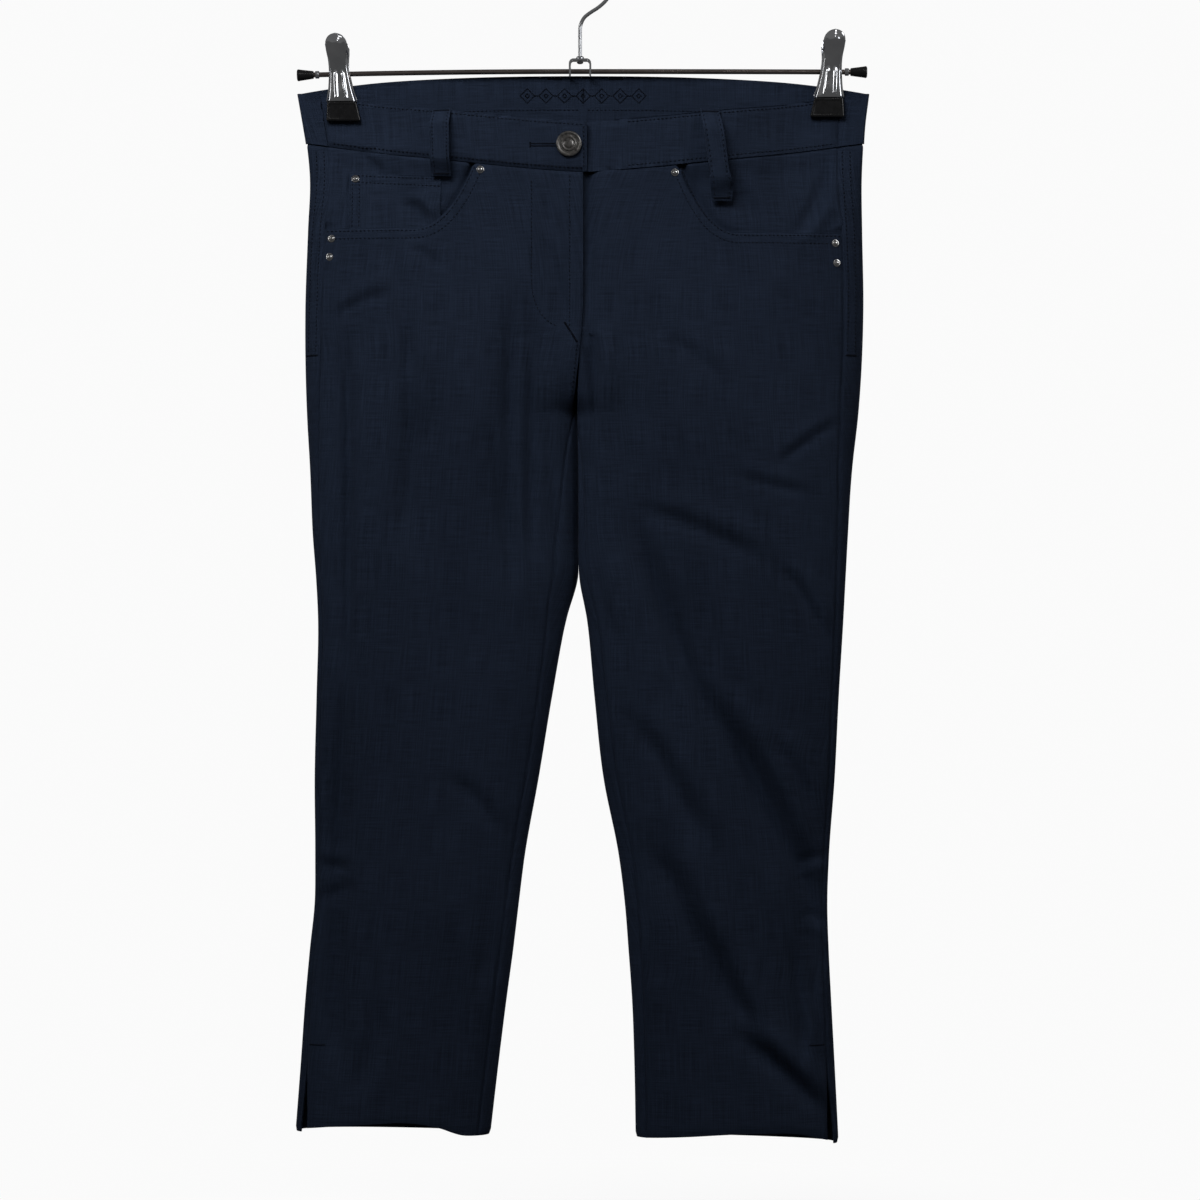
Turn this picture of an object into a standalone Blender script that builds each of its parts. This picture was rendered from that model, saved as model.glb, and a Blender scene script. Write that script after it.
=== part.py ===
"""Capri pants hanging from a two-clip trouser hanger.

+Z is up, the front of the garment faces -Y, and the origin is where the hook bears on its rail.
All sizes below are in millimetres, and MM turns them into Blender's metres. A "drop" is a distance
below the axis of the hanger's bar. Left and right are the viewer's: leg -1 is on the left (-X).
"""
import bmesh
import bpy
import numpy as np
from math import atan2, cos, hypot, pi, radians, sin
from mathutils import Matrix, Vector

MM = 0.001
LEFT, RIGHT = -1, 1
SIDE_NAME = {LEFT: "left", RIGHT: "right"}
FRONT, BACK = -1, 1

# Hanger
BAR_RADIUS = 1.9
HOOK_RADIUS = 30.0
HOOK_WIRE = 1.4
HOOK_CENTRE_DROP = -78.8
BAR_HEIGHT = HOOK_CENTRE_DROP - HOOK_RADIUS + HOOK_WIRE
BAR_ENDS = {LEFT: -211.0, RIGHT: 214.0}
BAR_SAG = {LEFT: 2.8, RIGHT: 0.4}
CAP_LENGTH = 12.5
CAP_RADIUS_OUTER, CAP_RADIUS_INNER = 4.3, 2.9
HOOK_TIP_TURN = radians(205)
BRACKET_HALF_WIDTH = 7.4
BRACKET_TOP_DROP, BRACKET_FOOT_DROP = -8.6, 4.4
BRACKET_STRAP, BRACKET_THICKNESS = 9.0, 1.3
CLIP_X = {LEFT: -178.8, RIGHT: 186.8}
CLIP_SHIFT = {LEFT: 0.6, RIGHT: -2.4}
CLIP_LEAN = 0.09
PAD_TOP, PAD_FOOT, PAD_HALF_WIDTH, PAD_THICKNESS = 22.8, 37.6, 13.0, 3.6
LEAF_THICKNESS = 0.9
SPRING_RADIUS, SPRING_HALF_WIDTH, SPRING_THICKNESS, SPRING_FOOT = 4.3, 4.0, 0.7, 15.0

# Cloth
CLEARANCE = 0.3
WALL = 1.2
BAND_WALL = 2.4
BAND_HEIGHT = 37.5
SIDE_SEAM_TOP = 57.0
COIN_WALL = 0.9
ROUNDNESS = 2.4
FORK_DROP = 256.5
FRONT_RISE, BACK_RISE = 62.0, 90.0
MIDDLE_AT_WAIST = 2.2
WAIST_HALF = {LEFT: 206.8, RIGHT: 210.2}
RIM_FRONT, RIM_SIDE, RIM_BACK = 40.3, 17.0, 2.7
INNER_THIGH_GAP = 0.9
THIGH_TILT = 0.12
PINCH_FLAT, PINCH_REACH, PINCH_FOOT, PINCH_FADE = 18.0, 38.0, 38.0, 45.0
SLIT_DROP, SLIT_HALF_GAP = 734.0, 1.6
HEM_DROP = 796.0
BACK_COLUMNS = 14
LEVEL_ROWS_START = 196.0

# Pockets, fly and small pieces
POCKET = {LEFT: {"mouth": -79.5, "width": 45.0, "foot": 120.0, "setback": 3.0},
          RIGHT: {"mouth": 76.5, "width": 43.0, "foot": 123.6, "setback": 3.0}}
POCKET_CURVE = 2.3
FACING_UNDERLAP = 6.5
COIN_OUTER_X, COIN_INNER_X, COIN_TOP, COIN_FOOT, COIN_SLOPE = -172.6, -104.0, 76.5, 124.5, 0.07
FLY_UNDERLAP, FLY_SETBACK = 6.0, 1.9
UNDERLAP_ENDS, SETBACK_ENDS = (148.0, 168.0), (172.0, 196.0)
BAND_LAP_X, BAND_UNDERLAP_X, BAND_SETBACK = 5.2, -22.0, 3.1
ZIP_SPAN, ZIP_TOP, ZIP_FOOT, ZIP_WALL, ZIP_SETBACK = (-14.0, 8.0), 82.0, 186.0, 1.0, 4.6
LOOP_WALL = 1.5
BUTTON_X, BUTTON_DROP, BUTTON_RADIUS = -8.2, 57.4, 9.5
RIVET_RADIUS, RIVET_HEIGHT = 2.6, 1.5

# The garment's outline and depth at each drop
OUTLINE = np.array([
    # drop, left_out, left_in, middle, right_in, right_out, front, back, heart
    (0, -214.5, 0, 2.2, 0, 218.5, 19.5, 6.0, 0.04),
    (20, -211.0, 0, 2.2, 0, 216.0, 21.0, 6.5, 0.05),
    (40, -207.5, 0, 2.2, 0, 213.5, 22.0, 8.0, 0.08),
    (60, -204.3, 0, 2.2, 0, 212.2, 22.5, 10.5, 0.14),
    (80, -202.6, 0, 2.2, 0, 211.3, 23.0, 13.5, 0.20),
    (120, -204.0, 0, 2.2, 0, 211.6, 25.0, 19.0, 0.33),
    (180, -206.0, 0, 2.0, 0, 212.5, 27.0, 25.0, 0.45),
    (256.5, -204.8, -2.9, -2.0, -1.1, 208.8, 27.0, 28.0, 0.50),
    (300, -202.4, -2.6, -1.3, 0.0, 204.0, 26.0, 28.0, 0.50),
    (350, -200.3, -2.8, -1.2, 0.4, 200.8, 24.5, 26.0, 0.50),
    (380, -198.0, -3.0, -1.2, 1.0, 199.2, 23.2, 25.0, 0.50),
    (410, -196.5, -10.5, -1.2, 5.6, 197.6, 22.0, 24.0, 0.50),
    (470, -197.6, -21.6, -1.2, 11.4, 194.0, 20.5, 22.0, 0.50),
    (530, -199.0, -31.5, -1.2, 18.0, 191.0, 19.5, 21.0, 0.50),
    (590, -198.6, -42.2, -1.2, 29.8, 186.6, 19.0, 20.0, 0.50),
    (625, -199.0, -46.6, -1.2, 34.2, 185.4, 19.0, 20.0, 0.50),
    (660, -202.6, -50.8, -1.2, 37.0, 186.4, 19.0, 20.0, 0.50),
    (700, -206.2, -56.2, -1.2, 39.8, 188.4, 19.5, 20.5, 0.50),
    (745, -209.4, -61.8, -1.2, 41.4, 190.8, 20.5, 21.0, 0.50),
    (800, -213.6, -68.2, -1.2, 42.4, 193.6, 21.5, 22.0, 0.50),
], dtype=[(name, float) for name in (
    "drop", "left_out", "left_in", "middle", "right_in", "right_out", "front", "back", "heart")])

# How far each seam lies in from the edge of its leg, on the front of the garment
SEAMS = np.array([
    # drop, left_side, right_side, left_inseam, right_inseam
    (0, 15.0, 18.5, 0, 0),
    (57, 15.0, 18.5, 0, 0),
    (120, 13.0, 15.5, 0, 0),
    (200, 12.2, 15.2, 0, 0),
    (256.5, 9.5, 14.0, 0, 0),
    (290, 7.0, 11.0, 5.5, 4.0),
    (325, 5.0, 8.6, 9.5, 6.0),
    (375, 3.6, 7.0, 14.5, 7.5),
    (440, 3.0, 5.5, 11.0, 8.0),
    (530, 3.0, 4.2, 9.0, 10.0),
    (660, 3.4, 3.8, 9.0, 8.5),
    (734, 4.6, 5.6, 8.6, 7.5),
    (800, 6.4, 5.2, 8.8, 7.2),
], dtype=[(name, float) for name in (
    "drop", "left_side", "right_side", "left_inseam", "right_inseam")])

# The hem of each front, from the side slit (0) to the inseam (1)
HEM = np.array([
    (0.0, 793.0, 801.5),
    (0.3, 788.5, 795.5),
    (0.6, 787.5, 797.0),
    (0.8, 793.0, 798.0),
    (1.0, 798.0, 797.0),
], dtype=[("across", float), ("left", float), ("right", float)])

# The largest folds: soft troughs in the cloth, each along a line
FOLDS = np.array([
    # face, x, drop, to_x, to_drop, width, deep
    (FRONT, 45.0, 345.0, 165.0, 610.0, 17.0, 4.0),
    (FRONT, 60.0, 575.0, 120.0, 715.0, 15.0, 2.5),
    (FRONT, 172.0, 570.0, 175.0, 700.0, 11.0, 3.0),
    (FRONT, -172.0, 190.0, -175.0, 440.0, 13.0, 3.0),
    (FRONT, -180.0, 490.0, -182.0, 740.0, 12.0, 3.0),
    (FRONT, -42.0, 180.0, -38.0, 370.0, 18.0, 3.5),
    (FRONT, -120.0, 250.0, -128.0, 360.0, 16.0, 2.5),
    (BACK, -60.0, 250.0, -140.0, 470.0, 18.0, 4.0),
    (BACK, 60.0, 240.0, 130.0, 420.0, 18.0, 4.0),
    (BACK, -130.0, 520.0, -120.0, 720.0, 15.0, 3.0),
    (BACK, 110.0, 500.0, 90.0, 740.0, 15.0, 3.5),
], dtype=[(name, float) for name in ("face", "x", "drop", "to_x", "to_drop", "width", "deep")])

# A clip's leaf, from its thumb end to its jaw
LEAF = np.array([
    # drop, half_width, standoff
    (-27.0, 3.6, 12.6),
    (-25.6, 6.2, 12.8),
    (-22.5, 7.9, 12.8),
    (-16.0, 8.1, 11.6),
    (-8.0, 7.4, 9.2),
    (0.0, 7.6, 7.6),
    (8.0, 8.6, 6.8),
    (15.0, 9.8, 6.3),
    (22.4, 11.6, 5.6),
], dtype=[("drop", float), ("half_width", float), ("standoff", float)])


# ---------------------------------------------------------------- making objects

def material(name, colour, roughness, metallic=0.0):
    made = bpy.data.materials.new(name)
    made.use_nodes = True
    shader = made.node_tree.nodes["Principled BSDF"]
    shader.inputs["Base Color"].default_value = (*colour, 1.0)
    shader.inputs["Roughness"].default_value = roughness
    shader.inputs["Metallic"].default_value = metallic
    return made


def in_row_frame(x, y, drop):
    """Metres, from a place in millimetres below the bar."""
    return np.stack([x * MM, y * MM, (BAR_HEIGHT - drop) * MM], axis=-1)


def add_object(name, mesh_data, finish):
    made = bpy.data.objects.new(name, mesh_data)
    made.data.materials.append(finish)
    bpy.context.scene.collection.objects.link(made)
    return made


def add_mesh(name, bm, finish):
    bmesh.ops.recalc_face_normals(bm, faces=bm.faces)
    mesh_data = bpy.data.meshes.new(name)
    bm.to_mesh(mesh_data)
    bm.free()
    return add_object(name, mesh_data, finish)


def wall(name, outer, inner, finish):
    """A closed wall between two grids of points, each columns x rows x 3."""
    columns, rows = outer.shape[0] - 1, outer.shape[1] - 1
    bm = bmesh.new()
    bmesh.ops.create_grid(bm, x_segments=columns, y_segments=rows, size=0.5)
    back = bmesh.ops.extrude_face_region(bm, geom=bm.faces[:])
    for vert in back["geom"]:
        if isinstance(vert, bmesh.types.BMVert):
            vert.co.z = 1.0
    for vert in bm.verts:
        column = round((vert.co.x + 0.5) * columns)
        row = round((0.5 - vert.co.y) * rows)
        vert.co = (inner if vert.co.z > 0.5 else outer)[column, row]
    return add_mesh(name, bm, finish)


# ---------------------------------------------------------------- the surface of the garment

def along(table, name, at, key="drop"):
    """A column of a table at the given places, on a smooth curve through its rows."""
    knots, values = table[key], table[name]
    slopes = np.gradient(values, knots)
    at = np.clip(at, knots[0], knots[-1])
    i = np.clip(np.searchsorted(knots, at) - 1, 0, len(knots) - 2)
    span = knots[i + 1] - knots[i]
    t = (at - knots[i]) / span
    start = (1 + 2 * t) * (1 - t) ** 2 * values[i] + t * (1 - t) ** 2 * span * slopes[i]
    end = t * t * (3 - 2 * t) * values[i + 1] + t * t * (t - 1) * span * slopes[i + 1]
    return start + end


def smooth_step(value, low, high):
    t = np.clip((value - low) / (high - low), 0.0, 1.0)
    return t * t * (3 - 2 * t)


def section(leg, drop):
    """The sizes of a leg's oval at a drop. Above the fork the ovals run past the middle, cut there."""
    side = SIDE_NAME[leg]
    out = along(OUTLINE, side + "_out", drop)
    middle = along(OUTLINE, "middle", drop)
    height = np.maximum(FORK_DROP - drop, 0.0)
    sizes = {"out": out, "middle": middle}
    below = drop >= FORK_DROP
    leg_in = leg * np.maximum(leg * along(OUTLINE, side + "_in", drop), leg * middle + INNER_THIGH_GAP)
    for face, rise in ((FRONT, FRONT_RISE), (BACK, BACK_RISE)):
        open_share = np.sqrt(1 - (1 - np.clip(height / rise, 0.0, 1.0)) ** 2)
        gap = CLEARANCE / 2 + (INNER_THIGH_GAP - CLEARANCE / 2) * (1 - open_share) ** 2
        cut = np.maximum((1 - open_share ** ROUNDNESS), 1e-9) ** (1 / ROUNDNESS)
        sizes["edge", face] = np.where(below, leg_in, middle + leg * gap)
        sizes["cut", face] = np.where(below, 1.0, np.maximum(cut, 0.02))
    sizes["heart"] = sizes["edge", FRONT] + along(OUTLINE, "heart", drop) * (out - sizes["edge", FRONT])
    sizes["deep", FRONT] = along(OUTLINE, "front", drop)
    sizes["deep", BACK] = along(OUTLINE, "back", drop)
    return sizes


def fold_depth(face, x, drop):
    """How far the folds on a face press the cloth inwards."""
    total = np.zeros(np.broadcast(x, drop).shape)
    for fold in FOLDS[FOLDS["face"] == face]:
        run_x, run_drop = fold["to_x"] - fold["x"], fold["to_drop"] - fold["drop"]
        length = hypot(run_x, run_drop)
        t = ((x - fold["x"]) * run_x + (drop - fold["drop"]) * run_drop) / length ** 2
        aside = ((x - fold["x"]) * run_drop - (drop - fold["drop"]) * run_x) / length
        fade = smooth_step(t, -0.15, 0.2) * (1 - smooth_step(t, 0.8, 1.15))
        total = total + fold["deep"] * fade * np.exp(-(aside / fold["width"]) ** 2)
    return total


def surface(leg, turn, drop):
    """Middle of the cloth. turn is in quarters: 0 outer edge, 1 front, 2 inner edge, 3 back."""
    turn, drop = np.broadcast_arrays(np.mod(turn, 4.0), np.asarray(drop, float))
    sizes = section(leg, drop)
    face = np.where(turn < 2, FRONT, BACK)
    outer_half = (turn < 1) | (turn >= 3)
    from_heart = np.abs(np.where(turn < 2, turn - 1, turn - 3)) * pi / 2
    edge = np.where(turn < 2, sizes["edge", FRONT], sizes["edge", BACK])
    cut = np.where(turn < 2, sizes["cut", FRONT], sizes["cut", BACK])
    reach = np.where(outer_half, sizes["out"] - sizes["heart"], (edge - sizes["heart"]) / cut)
    x = sizes["heart"] + reach * np.abs(np.sin(from_heart)) ** (2 / ROUNDNESS)
    full = np.where(turn < 2, sizes["deep", FRONT], sizes["deep", BACK])
    share = np.abs(np.cos(from_heart)) ** (2 / ROUNDNESS)
    deep = full * share
    from_clip = np.maximum(np.abs(x - CLIP_X[leg]) - PINCH_FLAT, 0.0)
    pinch = np.exp(-(from_clip / PINCH_REACH) ** 2)
    pinch = pinch * np.exp(-(np.maximum(drop - PINCH_FOOT, 0.0) / PINCH_FADE) ** 2)
    deep = deep * (1 - pinch) + np.minimum(deep, BAND_WALL / 2 + 0.45) * pinch
    folds = np.where(turn < 2, fold_depth(FRONT, x, drop), fold_depth(BACK, x, drop))
    y = face * (deep - folds * share)
    near_middle = np.exp(-((x - sizes["middle"]) / 40.0) ** 2)
    near_fork = smooth_step(drop, 190.0, FORK_DROP) * (1 - smooth_step(drop, 380.0, 430.0))
    return x + THIGH_TILT * y * near_middle * near_fork, y, drop


def outward(leg, turn, drop):
    """Unit normal of the surface, out of the garment, as x, y and drop."""
    step_turn, step_drop = 0.002, 0.4
    across = np.subtract(surface(leg, turn + step_turn, drop), surface(leg, turn - step_turn, drop))
    down = np.subtract(surface(leg, turn, drop + step_drop), surface(leg, turn, drop - step_drop))
    normal = leg * np.stack([across[2] * down[1] - across[1] * down[2],
                             across[0] * down[2] - across[2] * down[0],
                             across[1] * down[0] - across[0] * down[1]])
    return normal / np.linalg.norm(normal, axis=0)


def turn_at(leg, x, drop, face=FRONT):
    """The turn at which a leg's front or back passes x."""
    sizes = section(leg, drop)
    outer_half = leg * (x - sizes["heart"]) > 0
    reach = np.where(outer_half, sizes["out"] - sizes["heart"],
                     (sizes["edge", face] - sizes["heart"]) / sizes["cut", face])
    share = np.clip((x - sizes["heart"]) / reach, 0.0, 1.0)
    away = np.arcsin(share ** (ROUNDNESS / 2)) / (pi / 2)
    towards_inner = np.where(outer_half, -away, away)
    return 1 + towards_inner if face == FRONT else -1 - towards_inner


def side_seam(leg, drop):
    side = SIDE_NAME[leg]
    return along(OUTLINE, side + "_out", drop) - leg * along(SEAMS, side + "_side", drop)


def inner_seam(leg, drop):
    """The middle above the fork, the inseam below it."""
    sizes = section(leg, drop)
    return sizes["edge", FRONT] + leg * along(SEAMS, SIDE_NAME[leg] + "_inseam", drop)


def inseam_gap(drop):
    """Half the gap between front and back along the inseam, wider where it turns over the fork."""
    return CLEARANCE / 2 * smooth_step(drop, FORK_DROP - 1.0, FORK_DROP + 6.0)


def slit_gap(drop):
    return CLEARANCE / 2 + SLIT_HALF_GAP * smooth_step(drop, SLIT_DROP, HEM_DROP + 10.0)


def rim(x, face):
    """Drop of the waistband's top edge."""
    half = np.where(x < MIDDLE_AT_WAIST, WAIST_HALF[LEFT], WAIST_HALF[RIGHT])
    across = np.clip(np.abs(x - MIDDLE_AT_WAIST) / half, 0.0, 1.0)
    if face == FRONT:
        return RIM_FRONT + (RIM_SIDE - RIM_FRONT) * across ** 1.35
    return RIM_BACK + (RIM_SIDE - RIM_BACK) * across ** 3


def waist_seam(x, face):
    return rim(x, face) + BAND_HEIGHT


def pocket_mouth(leg, x):
    """Drop of a front's top edge: the waist seam, then the scooped pocket mouth."""
    pocket = POCKET[leg]
    seam = waist_seam(x, FRONT)
    t = np.clip(leg * (x - pocket["mouth"]) / pocket["width"], 0.0, 1.0)
    start = waist_seam(pocket["mouth"], FRONT)
    scoop = start + (pocket["foot"] - start) * (1 - (1 - t) ** POCKET_CURVE)
    return np.where(leg * (x - pocket["mouth"]) > 0, np.maximum(scoop, start), seam)


def layer(leg, turn, drop, thickness, lift=0.0, limit=None):
    """Outer and inner points of a wall on the surface, lifted and kept on its side of x = limit."""
    x, y, drop = surface(leg, turn, drop)
    normal = outward(leg, turn, drop)
    sides = []
    for offset in (lift + thickness / 2, lift - thickness / 2):
        point_x = x + normal[0] * offset
        if limit is not None:
            point_x = leg * np.maximum(leg * point_x, leg * limit)
        sides.append(in_row_frame(point_x, y + normal[1] * offset, drop + normal[2] * offset))
    return sides


# ---------------------------------------------------------------- leg panels

def panel_levels():
    """Drops of a panel's rows at the side seam: even to the fly's foot, close at the fork, even below."""
    upper = np.linspace(SIDE_SEAM_TOP, LEVEL_ROWS_START, 6)
    fork = FORK_DROP - (FORK_DROP - LEVEL_ROWS_START) * (1 - np.sin(np.linspace(0, pi / 2, 6)[1:]))
    lower = FORK_DROP + (SLIT_DROP - FORK_DROP) * np.linspace(0, 1, 15)[1:] ** 1.15
    return np.concatenate([upper, fork, lower, [SLIT_DROP + 31.0, HEM_DROP]])


def hang(levels, top, hem):
    """Rows of drops for each column, from its own top edge to its own hem, level below the fly."""
    share = np.clip(1 - (levels - levels[0]) / (LEVEL_ROWS_START - levels[0]), 0.0, 1.0) ** 1.5
    lift = np.clip((levels - SLIT_DROP) / (HEM_DROP - SLIT_DROP), 0.0, 1.0)
    return levels + (top[:, None] - levels[0]) * share + (hem[:, None] - HEM_DROP) * lift


FRONT_COLUMNS = {
    LEFT: np.array([0, 0.13, 0.27, 0.424, 0.461, 0.498, 0.556, 0.62, 0.74, 0.87, 1.0]),
    RIGHT: np.array([0, 0.13, 0.26, 0.39, 0.425, 0.465, 0.52, 0.60, 0.73, 0.87, 1.0]),
}


def front_panel(leg, finish):
    levels = panel_levels()
    share = FRONT_COLUMNS[leg]
    at_top = side_seam(leg, SIDE_SEAM_TOP) * share + MIDDLE_AT_WAIST * (1 - share)
    top = pocket_mouth(leg, at_top) + CLEARANCE / 2
    hem = along(HEM, SIDE_NAME[leg], 1 - share, key="across")
    drop = hang(levels, top, hem)
    inner = inner_seam(leg, drop) + leg * inseam_gap(drop)
    underlap = FLY_UNDERLAP * (1 - smooth_step(drop, *UNDERLAP_ENDS))
    if leg == RIGHT:
        inner = inner - underlap
    outer = side_seam(leg, drop) - leg * slit_gap(drop)
    x = inner + share[:, None] * (outer - inner)
    lift = np.zeros_like(x)
    limit = along(OUTLINE, "middle", drop) + leg * CLEARANCE / 2
    if leg == RIGHT:
        near_fly = 1 - smooth_step(x, MIDDLE_AT_WAIST + 4.0, MIDDLE_AT_WAIST + 28.0)
        lift = -FLY_SETBACK * near_fly * (1 - smooth_step(drop, *SETBACK_ENDS))
        limit = limit - underlap
    turn = turn_at(leg, x, drop)
    outer_points, inner_points = layer(leg, turn, drop, WALL, lift, limit)
    return wall("front_" + SIDE_NAME[leg], outer_points, inner_points, finish)


def spread(leg, start, end, drop, count):
    """Turns from start to end at one drop, spaced by length and closer where the cloth bends."""
    dense = np.linspace(start, end, 181)
    x, y, _ = surface(leg, dense, np.full(dense.shape, drop))
    step_x, step_y = np.diff(x), np.diff(y)
    heading = np.unwrap(np.arctan2(step_y, step_x))
    bend = np.abs(np.gradient(heading))
    weight = np.hypot(step_x, step_y) + 11.0 * bend
    run = np.concatenate([[0.0], np.cumsum(weight)])
    return np.interp(np.linspace(0, run[-1], count + 1), run, dense)


def back_ends(leg, drop):
    """Turns of a back's two edges: its side seam, and its centre seam or inseam."""
    start = turn_at(leg, side_seam(leg, drop) + leg * slit_gap(drop), drop)
    if drop <= FORK_DROP:
        end = turn_at(leg, section(leg, drop)["edge", BACK] + leg * inseam_gap(drop), drop, BACK)
    else:
        end = turn_at(leg, inner_seam(leg, drop) - leg * inseam_gap(drop), drop) - 4.0
    return float(start), float(end)


def back_rim(leg, turn):
    """Drop of the top edge of the waistband's back, which starts on the front of the garment."""
    x = surface(leg, turn, SIDE_SEAM_TOP)[0]
    return np.where(turn >= 0, rim(x, FRONT), rim(x, BACK))


def back_panel(leg, finish):
    levels = panel_levels()
    turn = np.stack([spread(leg, *back_ends(leg, drop), drop, BACK_COLUMNS) for drop in levels], axis=1)
    top = back_rim(leg, turn[:, 0]) + BAND_HEIGHT + CLEARANCE / 2
    hem = np.full(BACK_COLUMNS + 1, float(HEM[SIDE_NAME[leg]][0]) + 3.0)
    drop = hang(levels, top, hem)
    limit = along(OUTLINE, "middle", drop) + leg * CLEARANCE / 2
    outer_points, inner_points = layer(leg, turn, drop, WALL, 0.0, limit)
    return wall("back_" + SIDE_NAME[leg], outer_points, inner_points, finish)


# ---------------------------------------------------------------- waistband and pockets

def front_band(leg, end_x, finish, columns=12):
    start = turn_at(leg, side_seam(leg, SIDE_SEAM_TOP) - leg * CLEARANCE / 2, SIDE_SEAM_TOP)
    end = turn_at(leg, end_x, SIDE_SEAM_TOP)
    turn = spread(leg, float(start), float(end), PINCH_FOOT, columns)[:, None]
    near = surface(leg, turn, SIDE_SEAM_TOP)[0]
    drop = rim(near, FRONT) + np.linspace(0.0, BAND_HEIGHT - CLEARANCE, 3)
    share = (near - end_x) / (near[0] - end_x)
    x = end_x + share * (side_seam(leg, drop) - leg * CLEARANCE / 2 - end_x)
    lift = np.zeros_like(x)
    if leg == RIGHT:
        lift = -BAND_SETBACK * (1 - smooth_step(x, BAND_LAP_X + 3.0, BAND_LAP_X + 32.0))
    outer, inner = layer(leg, turn_at(leg, x, drop), drop, BAND_WALL, lift)
    return wall("waistband_front_" + SIDE_NAME[leg], outer, inner, finish)


def back_band(finish):
    halves = []
    for leg in (LEFT, RIGHT):
        turn = spread(leg, *back_ends(leg, SIDE_SEAM_TOP), SIDE_SEAM_TOP, BACK_COLUMNS)[:, None]
        drop = back_rim(leg, turn) + np.linspace(0.0, BAND_HEIGHT - CLEARANCE, 3)
        at_seam = turn_at(leg, side_seam(leg, drop) + leg * CLEARANCE / 2, drop)
        turn = np.where(turn == turn[0], at_seam, turn)
        halves.append(layer(leg, turn, drop, BAND_WALL))
    outer, inner = (np.concatenate([halves[0][side], halves[1][side][::-1]]) for side in (0, 1))
    return wall("waistband_back", outer, inner, finish)


def pocket_facing(leg, finish, columns=7, rows=3):
    pocket = POCKET[leg]
    share = np.linspace(0.0, 1.0, columns + 1)[:, None]
    near = pocket["mouth"] - leg * FACING_UNDERLAP
    x = near + share * (side_seam(leg, 90.0) - near)
    top = waist_seam(x, FRONT) + CLEARANCE / 2
    foot = pocket["foot"] + FACING_UNDERLAP
    drop = top + np.linspace(0.0, 1.0, rows + 1) * (foot - top)
    x = near + share * (side_seam(leg, drop) - leg * CLEARANCE / 2 - near)
    outer, inner = layer(leg, turn_at(leg, x, drop), drop, WALL, -pocket["setback"])
    return wall("pocket_facing_" + SIDE_NAME[leg], outer, inner, finish)


def coin_pocket(finish, columns=6, rows=3):
    x = np.linspace(COIN_OUTER_X, COIN_INNER_X, columns + 1)[:, None]
    top = COIN_TOP + COIN_SLOPE * (x - COIN_OUTER_X)
    drop = top + np.linspace(0.0, 1.0, rows + 1) * (COIN_FOOT - top)
    lift = -POCKET[LEFT]["setback"] / 2
    outer, inner = layer(LEFT, turn_at(LEFT, x, drop), drop, COIN_WALL, lift)
    return wall("coin_pocket", outer, inner, finish)


def zip_strip(finish):
    x = np.linspace(*ZIP_SPAN, 3)[:, None]
    drop = np.linspace(ZIP_TOP, ZIP_FOOT, 6) + 0.0 * x
    outer, inner = layer(LEFT, turn_at(LEFT, x, drop), drop, ZIP_WALL, -ZIP_SETBACK)
    return wall("zip", outer, inner, finish)


# name, leg, face, x and drop at the top, x and drop at the foot, half width, standoff
LOOPS = [
    ("belt_loop_front_left", LEFT, FRONT, -102.8, 30.6, -102.8, 81.5, 6.7, 7.6),
    ("belt_loop_front_right", RIGHT, FRONT, 96.5, 31.0, 106.0, 100.5, 7.0, 7.8),
    ("belt_loop_back_left", LEFT, BACK, -21.0, 4.0, -21.0, 50.0, 6.5, 6.0),
    ("belt_loop_back_right", RIGHT, BACK, 25.5, 4.0, 25.5, 50.0, 6.5, 6.0),
]
LOOP_STEPS = np.array([0.0, 0.07, 0.15, 0.26, 0.5, 0.74, 0.85, 0.93, 1.0])


def belt_loop(name, leg, face, x, drop, foot_x, foot_drop, half_width, standoff, finish):
    t = LOOP_STEPS[None, :]
    across = half_width * np.array([-1.0, 0.0, 1.0])[:, None]
    along_x = x + t * (foot_x - x) + across
    along_drop = drop + t * (foot_drop - drop) + 0.0 * across
    rise = smooth_step(t, 0.0, 0.26) * (1 - smooth_step(t, 0.74, 1.0))
    lift = BAND_WALL / 2 + CLEARANCE + LOOP_WALL / 2 + standoff * rise
    turn = turn_at(leg, along_x, along_drop, face)
    outer, inner = layer(leg, turn, along_drop, LOOP_WALL, lift)
    return wall(name, outer, inner, finish)


# ---------------------------------------------------------------- button and rivets

def turned(name, profile, finish, segments=20):
    """A solid turned about Z from (radius, height) points, from axis to axis or a closed ring."""
    bm = bmesh.new()
    verts = [bm.verts.new((radius * MM, 0.0, height * MM)) for radius, height in profile]
    edges = [bm.edges.new(pair) for pair in zip(verts, verts[1:])]
    bmesh.ops.spin(bm, geom=verts + edges, cent=(0, 0, 0), axis=(0, 0, 1), angle=2 * pi,
                   steps=segments, use_merge=True)
    bmesh.ops.remove_doubles(bm, verts=bm.verts, dist=1e-6)
    made = add_mesh(name, bm, finish)
    made.data.shade_smooth()
    made.data.set_sharp_from_angle(angle=radians(35))
    return made


def on_cloth(made, leg, x, drop, lift):
    """Set an object on the front of the garment, its Z axis out of the cloth."""
    turn = turn_at(leg, np.array([x]), np.array([drop]))
    point = np.array(surface(leg, turn, np.array([drop])))
    normal = outward(leg, turn, np.array([drop]))
    place = in_row_frame(*(point + normal * lift))[0]
    out = Vector((normal[0, 0], normal[1, 0], -normal[2, 0]))
    made.location = place
    made.rotation_mode = "QUATERNION"
    made.rotation_quaternion = out.to_track_quat("Z", "Y")
    return made


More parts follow.
